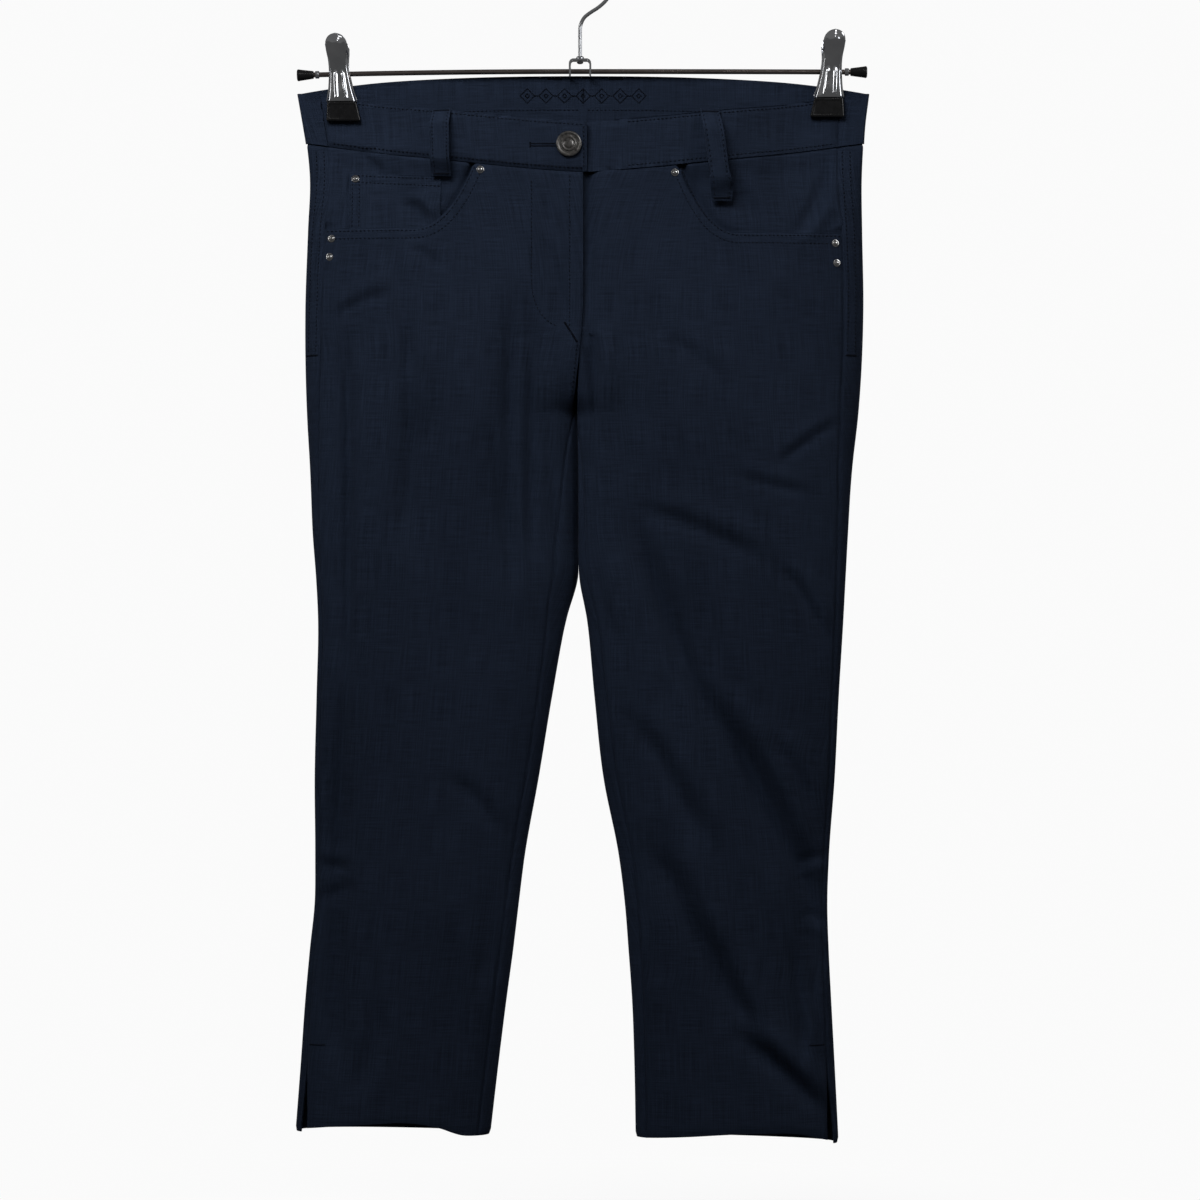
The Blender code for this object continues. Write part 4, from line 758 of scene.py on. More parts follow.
# ================================================================ the waistband
# A double band, folded along its top edge, in three lengths: two fronts and a deeper curved back.
# The left front laps over the right one, and the back's inside shows above the front's edge.

BAND_LAP_X, BAND_UNDERLAP_X, BAND_SETBACK, BAND_HOLLOW = 5.2, -22.0, 3.1, 4.0
BAND_ROWS = 13


def front_band(leg, end_x, columns=84):
    start = turn_at(leg, side_seam(leg, SIDE_SEAM_TOP) - leg * SEAM_GAP / 2, SIDE_SEAM_TOP)
    end = turn_at(leg, end_x, SIDE_SEAM_TOP)
    turn = spread(leg, float(start), float(end), PINCH_FOOT, columns)[:, None]
    near = leg_surface(leg, turn, SIDE_SEAM_TOP)[0]
    drop = rim(near, FRONT) + np.linspace(0.0, BAND_HEIGHT - SEAM_GAP, BAND_ROWS)
    share = (near - end_x) / (near[0] - end_x)
    x = end_x + share * (side_seam(leg, drop) - leg * SEAM_GAP / 2 - end_x)
    lift = np.zeros_like(x)
    if leg == RIGHT:
        lift = -BAND_SETBACK * (1 - smooth_step(x, BAND_LAP_X + 3.0, BAND_LAP_X + 32.0))
        hollow = 1 - smooth_step(drop - rim(x, FRONT), 0.3 * BAND_HEIGHT, BAND_HEIGHT)
        lift = lift - BAND_HOLLOW * np.exp(-((x - BAND_LAP_X - 4.0) / 5.5) ** 2) * hollow
    sides = layer(leg, turn_at(leg, x, drop), drop, BAND_WALL, lift)
    return sew_wall("waistband_" + SIDE_NAME[leg], sides, band_cloth, edge=0.7)


def back_band(columns=110):
    halves = []
    for leg in (LEFT, RIGHT):
        turn = spread(leg, *back_ends(leg, SIDE_SEAM_TOP), SIDE_SEAM_TOP, columns)[:, None]
        drop = back_rim(leg, turn) + np.linspace(0.0, BAND_HEIGHT - SEAM_GAP, BAND_ROWS)
        at_seam = turn_at(leg, side_seam(leg, drop) + leg * SEAM_GAP / 2, drop)
        turn = np.where(turn == turn[0], at_seam, turn)
        halves.append(layer(leg, turn, drop, BAND_WALL, rolled=False))
    joined = [np.concatenate([halves[0][side], halves[1][side][::-1][1:]]) for side in (0, 1)]
    return sew_wall("waistband_rear", joined, band_cloth, edge=0.7)


band_cloth = make_cloth("waistband twill", NAVY, sheen=0.03)
bands = {
    LEFT: hang_cloth(front_band(LEFT, BAND_LAP_X), (0.20, 0.0375), None, "waistband_front_left"),
    RIGHT: hang_cloth(front_band(RIGHT, BAND_UNDERLAP_X), (0.22, 0.0375), None, "waistband_front_right"),
    "rear": hang_cloth(back_band(), (0.46, 0.0375), None, "waistband_back"),
}


# ================================================================ the belt loops
# Narrow strips folded in three, edge stitched down both sides and tacked at both ends. The two in
# front stand further off the band, and the right one is longer and leans outwards.

# name, leg, face, x and drop at the top, x and drop at the foot, half width, standoff
LOOPS = [
    ("front_left", LEFT, FRONT, -102.8, 30.6, -102.8, 81.5, 6.7, 7.6),
    ("front_right", RIGHT, FRONT, 96.5, 31.0, 106.0, 100.5, 7.0, 7.8),
    ("back_left", LEFT, BACK, -21.0, 4.0, -21.0, 50.0, 6.5, 6.0),
    ("back_right", RIGHT, BACK, 25.5, 4.0, 25.5, 50.0, 6.5, 6.0),
]
LOOP_WALL = 1.5


def loop_lift(t, standoff):
    """How far a loop's middle stands out of the cloth, from its top (0) to its foot (1)."""
    rise = smooth_step(t, 0.0, 0.26) * (1 - smooth_step(t, 0.74, 1.0))
    return BAND_WALL / 2 + CLEARANCE + LOOP_WALL / 2 + standoff * rise


def belt_loop(name, leg, face, x, drop, foot_x, foot_drop, half_width, standoff):
    t = np.linspace(0.0, 1.0, 41)[None, :]
    across = half_width * np.linspace(-1.0, 1.0, 11)[:, None]
    along_x = x + t * (foot_x - x) + across
    along_drop = drop + t * (foot_drop - drop) + 0.0 * across
    folded = LOOP_WALL - 0.25 * np.exp(-((np.abs(across) - half_width + 1.8) / 0.7) ** 2)
    turn = turn_at(leg, along_x, along_drop, face)
    sides = layer(leg, turn, along_drop, folded, loop_lift(t, standoff), rolled=False)
    return sew_wall("loop_" + name, sides, band_cloth, edge=0.45)


loops = {}
for name, leg, face, x, drop, foot_x, foot_drop, half_width, standoff in LOOPS:
    made = belt_loop(name, leg, face, x, drop, foot_x, foot_drop, half_width, standoff)
    run = hypot(foot_x - x, foot_drop - drop) * MM
    band = "waistband_rear" if face == BACK else "waistband_" + SIDE_NAME[leg]
    loops[name] = hang_cloth(made, (2 * half_width * MM, run * 1.08), None, "belt_loop_" + name,
                             rests_on=[band])


# ================================================================ the topstitching
# Navy core-spun thread, about eight stitches to 25 mm. Each stitch is a small sunken bead of
# thread, pulled into the cloth at both ends, and bar tacks are stitches packed side by side.

STITCH_PITCH, STITCH_LENGTH, THREAD = 3.1, 2.1, 0.85
TACK_PITCH, TACK_THREAD = 0.42, 0.5


def make_thread(name, colour, roughness):
    """Twisted thread: a fine mottle of ply in its shade."""
    made, tree, shader = new_material(name)
    place = add_node(tree, "TexCoord").outputs["Object"]
    ply = add_node(tree, "TexNoise", links={"Vector": place, "Scale": 2600.0, "Detail": 1.0})
    feed(tree, shader, {
        "Base Color": mix_colours(tree, ply.outputs[0], *shades_of(colour, 0.6, 1.5)),
        "Roughness": roughness, "Specular IOR Level": 0.12})
    return made


# painted shade: both threads are navy, but are set much darker than the cloth to stand for the shade in the
# ditch each stitch sinks into
thread = make_thread("navy thread with painted stitch shade", (0.0017, 0.0023, 0.0042), 0.6)
tack_thread = make_thread("tack thread with painted shade", (0.0015, 0.0020, 0.0038), 0.6)


def on_cloth(leg, face, x, drop, lift):
    """Points at a lift out of the cloth and their normals, in the row frame, in metres."""
    turn = turn_at(leg, x, drop, face)
    point = np.array(leg_surface(leg, turn, drop))
    normal = outward(leg, turn, drop)
    place = point + normal * lift
    return in_row_frame(*place), np.stack([normal[0], normal[1], -normal[2]], axis=-1)


def stitch_into(bm, places, normals, ahead, length, gauge):
    """Beads of thread at places, each along its own direction and lying on its normal."""
    for place, normal, direction in zip(places, normals, ahead):
        side = np.cross(normal, direction)
        side = side / np.linalg.norm(side)
        direction = np.cross(side, normal)
        turned = np.stack([direction * length / 2, side * gauge / 2, normal * gauge / 2], axis=1) * MM
        matrix = Matrix.Translation(place) @ Matrix(turned.tolist()).to_4x4()
        bmesh.ops.create_icosphere(bm, subdivisions=1, radius=1.0, matrix=matrix)


def stitched_line(bm, leg, face, route, lift, pitch=STITCH_PITCH, length=STITCH_LENGTH, gauge=THREAD):
    """A row of stitches along (x, drop) points on the cloth."""
    route = np.array(route, float)
    run = np.concatenate([[0.0], np.cumsum(np.hypot(*np.diff(route, axis=0).T))])
    count = max(2, round(run[-1] / pitch))
    middles = (np.arange(count) + 0.5) * run[-1] / count

    def further(step):
        x, drop = (np.interp(middles + step, run, route[:, axis]) for axis in (0, 1))
        return on_cloth(leg, face, x, drop, lift)

    places, normals = further(0.0)
    stitch_into(bm, places, normals, further(0.8)[0] - further(-0.8)[0], length, gauge)


def bar_tack(bm, leg, face, x, drop, to_x, to_drop, lift, width=1.9):
    """Short stitches packed side by side from one end of the tack to the other."""
    run = hypot(to_x - x, to_drop - drop)
    count = max(4, round(run / TACK_PITCH))
    t = (np.arange(count) + 0.5) / count
    xs, drops = x + t * (to_x - x), drop + t * (to_drop - drop)
    across_x, across_drop = (to_drop - drop) / run, -(to_x - x) / run
    places, normals = on_cloth(leg, face, xs, drops, lift)
    towards, _ = on_cloth(leg, face, xs + across_x * 0.5, drops + across_drop * 0.5, lift)
    stitch_into(bm, places, normals, towards - places, width, TACK_THREAD)


def finish_stitches(name, bm, cloth, finish=None):
    """Join the stitches of one piece of cloth into one piece that goes with it."""
    made = finish_mesh(name, bm, finish or thread, sharp=180.0)
    made.parent = cloth
    return made


def offset_route(route, away):
    """A line parallel to a route of (x, drop) points, on the side that away points to if positive."""
    route = np.array(route, float)
    run = np.gradient(route, axis=0)
    run = run / np.linalg.norm(run, axis=1)[:, None]
    return route + away * np.stack([-run[:, 1], run[:, 0]], axis=1)


def seam_route(function, start, end, step=6.0):
    """(x, drop) points down a seam whose x is a function of its drop."""
    drops = even_rows(start, end, step)
    return np.stack([[float(function(drop)) for drop in drops], drops], axis=1)


ON_WALL, ON_BAND = WALL / 2 + 0.08, BAND_WALL / 2 + 0.08
TACK_X, TACK_FOOT = 10.5, 212.0
POCKET_ROWS, SIDE_ROWS, MIDDLE_ROWS, COIN_ROWS = (1.9, 7.6), (3.2, 9.0), (2.2, 8.0), (2.0, 7.2)
BAND_STITCH_ROWS = (2.4, BAND_HEIGHT - 2.6)
FLY_EDGE_ROW, FLY_CURVE_X, FLY_CURVE_TOP, FLY_CURVE_BEND, FLY_CURVE_FOOT = -7.6, -36.0, 84.0, 160.0, 34.0
FLY_CURVE_REACH = 24.0

for leg in (LEFT, RIGHT):
    bm = bmesh.new()
    pocket = POCKET[leg]
    reach = abs(side_seam(leg, 122.0)) - abs(pocket["mouth"]) - 1.0
    xs = pocket["mouth"] + leg * np.linspace(0.0, 1.0, 40) ** 1.4 * reach
    mouth = np.stack([xs, pocket_mouth(leg, xs)], axis=1)
    for away in POCKET_ROWS:
        stitched_line(bm, leg, FRONT, offset_route(mouth, leg * away)[1:], ON_WALL)
    if leg == LEFT:
        edge = [(FLY_EDGE_ROW, drop) for drop in even_rows(80.0, 194.0, 6.0)]
        curve = [(FLY_CURVE_X, drop) for drop in even_rows(FLY_CURVE_TOP, FLY_CURVE_BEND, 6.0)]
        curve += [(FLY_CURVE_X + FLY_CURVE_REACH * (1 - cos(a)), FLY_CURVE_BEND + FLY_CURVE_FOOT * sin(a))
                  for a in np.linspace(0.1, 1.35, 8)]
        stitched_line(bm, leg, FRONT, edge, ON_WALL)
        stitched_line(bm, leg, FRONT, curve, ON_WALL)
        crotch = seam_route(lambda drop: inner_seam(LEFT, drop) - 2.2, 206.0, 246.0)
        stitched_line(bm, leg, FRONT, crotch, ON_WALL, pitch=3.4)
    finish_stitches("stitching_front_" + SIDE_NAME[leg], bm, front_panels[leg])

    # the bar tacks at the foot of the fly and over the slit
    bm = bmesh.new()
    if leg == LEFT:
        bar_tack(bm, LEFT, FRONT, -11.5, 190.5, -1.5, 205.5, ON_WALL)
    foot, over_slit = side_seam(leg, SLIT_DROP - 4.0), SLIT_DROP - 3.5
    bar_tack(bm, leg, FRONT, foot - leg * 1.5, over_slit, foot - leg * 13.0, over_slit, ON_WALL, width=1.2)
    finish_stitches("tacks_front_" + SIDE_NAME[leg], bm, front_panels[leg], tack_thread)

    # rows beside the side seam, and down the centre seam of the seat on the left back alone
    bm = bmesh.new()
    for away in SIDE_ROWS:
        beside = seam_route(lambda drop: side_seam(leg, drop) + leg * away, 60.0, TACK_FOOT)
        stitched_line(bm, leg, FRONT, beside, ON_WALL)
    for away in MIDDLE_ROWS if leg == LEFT else ():
        middle_row = seam_route(lambda drop: leg_section(leg, drop)["middle"] + leg * away, 50.0, 238.0)
        stitched_line(bm, leg, BACK, middle_row, ON_WALL)
    finish_stitches("stitching_back_" + SIDE_NAME[leg], bm, back_panels[leg])

    bm = bmesh.new()
    tack, under_rows = side_seam(leg, TACK_FOOT), TACK_FOOT + 2.5
    bar_tack(bm, leg, FRONT, tack + leg * 1.8, under_rows, tack + leg * TACK_X, under_rows, ON_WALL)
    finish_stitches("tacks_back_" + SIDE_NAME[leg], bm, back_panels[leg], tack_thread)

bm = bmesh.new()
coin_lift = -POCKET[LEFT]["setback"] / 2 + COIN_WALL / 2 + 0.08
for away in COIN_ROWS:
    down = [(COIN_OUTER_X + away, drop) for drop in even_rows(COIN_TOP + 2.0, 119.0, 5.0)]
    stitched_line(bm, LEFT, FRONT, down, coin_lift)
    over = [(x, COIN_TOP + COIN_SLOPE * (x - COIN_OUTER_X) + away)
            for x in even_rows(COIN_OUTER_X + 2.0, COIN_INNER_X, 5.0)]
    stitched_line(bm, LEFT, FRONT, over, coin_lift)
finish_stitches("stitching_coin_patch", bm, coin_patch)

# rows along the top fold and the foot of each band, and down the left one's end
for leg, start, end in ((LEFT, BAND_LAP_X - 3.0, -186.0), (RIGHT, BAND_LAP_X + 30.0, 190.0)):
    bm = bmesh.new()
    xs = even_rows(start, end, 5.0)
    for away in BAND_STITCH_ROWS:
        stitched_line(bm, leg, FRONT, np.stack([xs, rim(xs, FRONT) + away], axis=1), ON_BAND)
    if leg == LEFT:
        drops = rim(3.0, FRONT) + np.linspace(3.0, 35.0, 8)
        stitched_line(bm, leg, FRONT, [(BAND_LAP_X - 2.4, drop) for drop in drops], ON_BAND)
    finish_stitches("stitching_band_" + SIDE_NAME[leg], bm, bands[leg])
bm = bmesh.new()
for leg in (LEFT, RIGHT):
    xs = even_rows(MIDDLE_AT_WAIST + leg * 3.0, leg * 196.0, 5.0)
    for away in BAND_STITCH_ROWS:
        stitched_line(bm, leg, BACK, np.stack([xs, rim(xs, BACK) + away], axis=1), ON_BAND)
    inside = even_rows(MIDDLE_AT_WAIST + leg * 3.0, leg * 150.0, 5.0)
    stitched_line(bm, leg, BACK, np.stack([inside, rim(inside, BACK) + BAND_HEIGHT - 12.0], axis=1), -ON_BAND)
finish_stitches("stitching_band_rear", bm, bands["rear"])

# edge rows and tacks on the loops
for name, leg, face, x, drop, foot_x, foot_drop, half_width, standoff in LOOPS:
    bm = bmesh.new()
    ends = np.linspace(0.05, 0.95, 17)
    t = (ends[:-1] + ends[1:]) / 2
    on_loop = LOOP_WALL / 2 + loop_lift(t, standoff)
    before, after = (LOOP_WALL / 2 + loop_lift(end, standoff) for end in (ends[:-1], ends[1:]))
    for side in (-1, 1):
        xs, drops = x + t * (foot_x - x) + side * (half_width - 1.8), drop + t * (foot_drop - drop)
        places, normals = on_cloth(leg, face, xs, drops, on_loop - 0.02)
        away, _ = on_cloth(leg, face, xs, drops - 1.0, before)
        towards, _ = on_cloth(leg, face, xs, drops + 1.0, after)
        stitch_into(bm, places, normals, towards - away, STITCH_LENGTH, THREAD)
    for t in (0.035, 0.965):
        at_x, at_drop = x + t * (foot_x - x), drop + t * (foot_drop - drop)
        bar_tack(bm, leg, face, at_x - half_width + 0.8, at_drop, at_x + half_width - 0.8, at_drop,
                 loop_lift(t, standoff) + LOOP_WALL / 2 + 0.05)
    finish_stitches("stitching_loop_" + name, bm, loops[name], tack_thread)


# ================================================================ buttonhole and inside band
# The keyhole is worked in close buttonhole stitch through the left band. Inside the back band are
# the tacks that hold the rear loops and a small embroidered chain of diamonds.

HOLE_START, HOLE_END, HOLE_DROP, HOLE_LIP, HOLE_TACK = -36.5, -16.0, 58.0, 0.9, 2.2
bm = bmesh.new()
for lip in (HOLE_DROP - HOLE_LIP, HOLE_DROP + HOLE_LIP):
    bar_tack(bm, LEFT, FRONT, HOLE_START, lip, HOLE_END, lip, ON_BAND, width=1.3)
tack_x = HOLE_START - 0.6
bar_tack(bm, LEFT, FRONT, tack_x, HOLE_DROP - HOLE_TACK, tack_x, HOLE_DROP + HOLE_TACK, ON_BAND, width=1.5)
finish_stitches("buttonhole", bm, bands[LEFT], tack_thread)

DIAMOND, CHAIN_DROP, CHAIN_PITCH, CHAIN_END, CHAIN_THREAD = 5.4, 17.5, 14.0, 42.0, 0.95
bm = bmesh.new()
for leg, x in ((LEFT, -19.0), (RIGHT, 27.0)):
    under_rim = rim(x, BACK) + 2.2
    bar_tack(bm, leg, BACK, x - 5.6, under_rim, x + 5.6, under_rim, -ON_BAND)
corners = [(-DIAMOND, 0.0), (0.0, -DIAMOND), (DIAMOND, 0.0), (0.0, DIAMOND), (-DIAMOND, 0.0)]
for middle in np.arange(-CHAIN_END, CHAIN_END + 1.0, CHAIN_PITCH):
    x = middle + MIDDLE_AT_WAIST
    for size in (1.0, 0.3):
        diamond = [(x + size * across, CHAIN_DROP + size * down) for across, down in corners]
        for half in (LEFT, RIGHT):
            side = [(max(half * at, half * MIDDLE_AT_WAIST) * half, down) for at, down in diamond]
            if abs(side[0][0] - side[2][0]) > 0.1:
                stitched_line(bm, half, BACK, side, -ON_BAND, pitch=1.3, length=1.5, gauge=CHAIN_THREAD)
    if middle < CHAIN_END:
        half = LEFT if middle + CHAIN_PITCH / 2 < 0 else RIGHT
        dash = [(x + 6.1, CHAIN_DROP), (x + 7.9, CHAIN_DROP)]
        stitched_line(bm, half, BACK, dash, -ON_BAND, gauge=CHAIN_THREAD)
finish_stitches("inside_embroidery", bm, bands["rear"], tack_thread)


# ================================================================ the metals
# Die-cast pewter for the button, nickel for the rivets, chrome plate and drawn wire for the
# hanger. Handling has dulled the high spots and left fine scratches and smears.

def make_wear_group():
    """Handling marks in the piece's own space: a mask of smears, and fine scratches as a height."""
    group, given, result = new_group(
        "handling wear", [("Smear Size", 60.0), ("Scratch Size", 900.0), ("Stretch", 8.0)],
        [("Smear", "Float"), ("Scratch", "Float")])
    smear_size, scratch_size, stretch = given.outputs[:3]
    place = add_node(group, "TexCoord").outputs["Object"]
    smear = add_node(group, "TexNoise", links={"Vector": place, "Scale": smear_size, "Detail": 4.0})
    thin = add_node(group, "CombineXYZ", links={0: stretch, 1: 1.0, 2: 1.0}).outputs[0]
    long = add_node(group, "VectorMath", {"operation": "MULTIPLY"}, {0: place, 1: thin}).outputs[0]
    scratch = add_node(group, "TexNoise", links={"Vector": long, "Scale": scratch_size, "Detail": 2.0})
    feed(group, result, {0: smear.outputs[0], 1: scratch.outputs[0]})
    return group


wear = make_wear_group()


def make_metal(name, bright, dull, roughness, rougher, smear=60.0, scratch=900.0, stretch=8.0, relief=0.00001,
               metallic=1.0, coat=0.0):
    """Metal whose colour and polish change between its bright and its handled places."""
    made, tree, shader = new_material(name)
    marks = place_group(tree, wear, {"Smear Size": smear, "Scratch Size": scratch, "Stretch": stretch})
    patches = add_node(tree, "MapRange", links={"Value": marks["Smear"], "From Min": 0.35, "From Max": 0.7})
    rough = add_node(tree, "MapRange", links={"Value": marks["Smear"], "From Min": 0.3, "From Max": 0.75,
                                              "To Min": roughness, "To Max": rougher})
    bump = add_node(tree, "Bump", links={"Strength": 0.4, "Distance": relief, "Height": marks["Scratch"]})
    feed(tree, shader, {
        "Base Color": mix_colours(tree, patches.outputs[0], bright, dull),
        "Roughness": rough.outputs[0], "Normal": bump.outputs[0],
        "Metallic": metallic, "Coat Weight": coat, "Coat Roughness": 0.12})
    return made


pewter = make_metal("aged pewter", (0.38, 0.365, 0.35), (0.14, 0.134, 0.128), 0.28, 0.5,
                    smear=420.0, scratch=1600.0)
nickel = make_metal("nickel", (0.72, 0.71, 0.70), (0.52, 0.51, 0.50), 0.12, 0.3, smear=300.0)
chrome = make_metal("chrome plate", (0.86, 0.87, 0.89), (0.70, 0.71, 0.74), 0.05, 0.16, smear=70.0)
hook_chrome = make_metal("hook chrome", (0.86, 0.87, 0.89), (0.70, 0.71, 0.74), 0.14, 0.24, smear=70.0,
                         stretch=0.1, relief=0.000002)
drawn_wire = make_metal("drawn wire", (0.34, 0.29, 0.27), (0.20, 0.17, 0.16), 0.22, 0.42,
                        smear=40.0, stretch=0.1)


# ================================================================ the button and the rivets
# A cast jeans button with a raised rim, a sunken ring and a small hub, held by a tack through the
# band. The rivets are little domes on a flange, two at each hip, one at each pocket corner.

def turn_on_axis(name, profile, finish, segments, sharp=40.0):
    """A solid of revolution about Z from (radius, height) points that start and end on the axis."""
    bm = bmesh.new()
    verts = [bm.verts.new((radius * MM, 0.0, height * MM)) for radius, height in profile]
    edges = [bm.edges.new(pair) for pair in zip(verts, verts[1:])]
    bmesh.ops.spin(bm, geom=verts + edges, cent=(0, 0, 0), axis=(0, 0, 1), angle=2 * pi,
                   steps=segments, use_merge=True)
    bmesh.ops.remove_doubles(bm, verts=bm.verts, dist=1e-6)
    return finish_mesh(name, bm, finish, sharp)


def arc_points(centre_r, centre_h, radius, start, end, count=6):
    return [(centre_r + radius * cos(radians(a)), centre_h + radius * sin(radians(a)))
            for a in np.linspace(start, end, count)]


def fix_on_cloth(made, leg, x, drop, lift, tilt=0.0):
    """Put a turned piece on the front of the garment, its axis out of the cloth, in its mesh."""
    place, normal = on_cloth(leg, FRONT, np.array([x]), np.array([drop]), lift)
    out = Vector(normal[0])
    matrix = Matrix.Translation(place[0]) @ out.to_track_quat("Z", "Y").to_matrix().to_4x4()
    made.data.transform(matrix @ Matrix.Rotation(tilt, 4, "X"))
    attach(made, "root")
    return made


BUTTON_X, BUTTON_DROP, BUTTON_TILT = -8.2, 57.4, radians(3)
BEADS, BEAD_RING, BEAD_SIZE, BEAD_HEIGHT = 40, 6.5, 0.34, 2.02
BUTTON_PROFILE = [(0.0, 0.0), (3.0, 0.0), (3.2, 0.9), (8.6, 0.9), *arc_points(8.55, 1.85, 0.95, -90, 70),
                  (8.3, 2.85), (8.0, 2.75), (7.7, 2.2), (7.3, 2.0), (5.6, 1.95), (5.3, 2.15),
                  *arc_points(4.85, 2.1, 0.45, 20, 160, 5), (4.2, 2.0), (3.7, 1.95), (3.4, 2.0),
                  (3.1, 2.45), (2.7, 2.7), (1.6, 2.85), (0.0, 2.9)]
button = turn_on_axis("jeans_button", BUTTON_PROFILE, pewter, 72, sharp=50.0)
bm = bmesh.new()
bm.from_mesh(button.data)
for a in np.arange(BEADS) * 2 * pi / BEADS:
    at = Vector((BEAD_RING * cos(a), BEAD_RING * sin(a), BEAD_HEIGHT)) * MM
    bmesh.ops.create_icosphere(bm, subdivisions=2, radius=BEAD_SIZE * MM, matrix=Matrix.Translation(at))
bm.to_mesh(button.data)
bm.free()
button.data.shade_smooth()
fix_on_cloth(button, LEFT, BUTTON_X, BUTTON_DROP, BAND_WALL / 2 + CLEARANCE, tilt=BUTTON_TILT)
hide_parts("button")

RIVET_PROFILE = [(0.0, 0.0), (2.75, 0.0), (2.8, 0.25), (2.6, 0.45), (2.15, 0.5),
                 *arc_points(0.0, -0.35, 2.3, 24, 90, 9)]
COIN_FACE = COIN_WALL / 2 - POCKET[LEFT]["setback"] / 2
# leg, x, drop, lift of the cloth's face
RIVETS = [
    (LEFT, -168.4, 81.6, COIN_FACE),
    (LEFT, -74.3, 76.4, WALL / 2),
    (RIGHT, 70.9, 78.6, WALL / 2),
    (LEFT, -185.6, 127.3, WALL / 2),
    (LEFT, -187.0, 141.0, WALL / 2),
    (RIGHT, 190.8, 130.8, WALL / 2),
    (RIGHT, 191.8, 145.6, WALL / 2),
]
for number, (leg, x, drop, lift) in enumerate(RIVETS, start=1):
    rivet = turn_on_axis("pocket_rivet_%d" % number, RIVET_PROFILE, nickel, 36)
    fix_on_cloth(rivet, leg, x, drop, lift + 0.1)
    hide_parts("rivet_%d" % number)


# ================================================================ the hanger's bar, caps and hook
# A drawn steel bar with moulded cones on its ends, and ferrules that stop the clips. The hook is
# chromed wire that swivels in a bent strap, headed over into a small knob under its plate.

HOOK_RADIUS, HOOK_WIRE, HOOK_CENTRE_DROP = 30.0, 1.4, -78.8
BAR_ENDS = {LEFT: -211.0, RIGHT: 214.0}
BAR_SAG = {LEFT: 2.8, RIGHT: 0.4}


def hang_metal(piece, slot, *nodes):
    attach(piece, "root")
    if nodes:
        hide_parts(*nodes)
    return piece


def bar_drop(x):
    side = LEFT if x < 0 else RIGHT
    return BAR_SAG[side] * (x / BAR_ENDS[side]) ** 2


def draw_wire(name, points, radius, finish, sides=4):
    """Round wire along (x, drop) points, as a mesh."""
    curve = bpy.data.curves.new(name + "_line", "CURVE")
    curve.dimensions = "3D"
    curve.bevel_depth = radius * MM
    curve.bevel_resolution = sides
    curve.use_fill_caps = True
    spline = curve.splines.new("POLY")
    spline.points.add(len(points) - 1)
    for point, (x, drop) in zip(spline.points, points):
        point.co = (x * MM, 0.0, (BAR_HEIGHT - drop) * MM, 1.0)
    line = bpy.data.objects.new(name + "_line", curve)
    bpy.context.scene.collection.objects.link(line)
    bpy.context.view_layer.update()
    bm = bmesh.new()
    bm.from_mesh(line.evaluated_get(bpy.context.evaluated_depsgraph_get()).to_mesh())
    bpy.data.objects.remove(line)
    bmesh.ops.remove_doubles(bm, verts=bm.verts, dist=1e-6)
    return finish_mesh(name, bm, finish, sharp=50.0)


def smooth_route(points, count):
    """More points on a smooth curve through a few, by Catmull and Rom's rule."""
    points = np.array([2 * np.array(points[0]) - points[1], *points, 2 * np.array(points[-1]) - points[-2]])
    made = []
    for place in np.linspace(0.0, len(points) - 3 - 1e-9, count):
        i, t = int(place), place % 1.0
        a, b, c, d = points[i:i + 4]
        made.append(0.5 * (2 * b + (c - a) * t + (2 * a - 5 * b + 4 * c - d) * t ** 2
                           + (3 * b - a - 3 * c + d) * t ** 3))
    return made


bar_points = [(x, bar_drop(x)) for x in np.linspace(BAR_ENDS[LEFT], BAR_ENDS[RIGHT], 61)]
hang_metal(draw_wire("bar", bar_points, BAR_RADIUS, drawn_wire, sides=6), "bar_steel", "hanger_bar")

neck = [(0.0, -7.9), (0.0, -20.0), (0.0, -31.0), (0.6, -35.5), (3.2, -40.6), (8.2, -44.6), (14.0, -48.4),
        (19.6, -53.6)]
ring = [(HOOK_RADIUS * cos(turn), HOOK_CENTRE_DROP - HOOK_RADIUS * sin(turn))
        for turn in np.linspace(radians(-39), radians(205), 34)]
hook = draw_wire("hook_wire", smooth_route(neck + ring, 150), HOOK_WIRE, hook_chrome, sides=6)
hang_metal(hook, "chrome", "hook")

COLLAR_PROFILE = [(1.5, 0.0), (3.0, 0.0), (3.05, 0.4), (2.6, 1.5), (2.2, 1.8), (1.5, 1.8), (1.5, 0.0)]
BRACKET_TOP, BRACKET_FOOT, BRACKET_HALF, STRAP, STRAP_WALL = -8.6, 4.4, 7.4, 9.0, 1.3
KNOB_PROFILE = [(0.0, 0.0), (1.4, 0.25), (2.3, 0.8), (2.5, 1.3), (2.2, 1.8), (1.2, 2.2), (0.0, 2.2)]
KNOB_HEIGHT = KNOB_PROFILE[-1][1]
plate, half_plate = BAR_HEIGHT - BRACKET_TOP, STRAP_WALL / 2 + CLEARANCE
for name, profile, foot, node in (("hook_washer", COLLAR_PROFILE, plate + half_plate, "hook_collar"),
                                  ("hook_head", KNOB_PROFILE, plate - half_plate - KNOB_HEIGHT, "hook_knob")):
    made = turn_on_axis(name, profile, chrome, 40)
    made.data.transform(Matrix.Translation((0, 0, foot * MM)))
    hang_metal(made, "chrome", node)


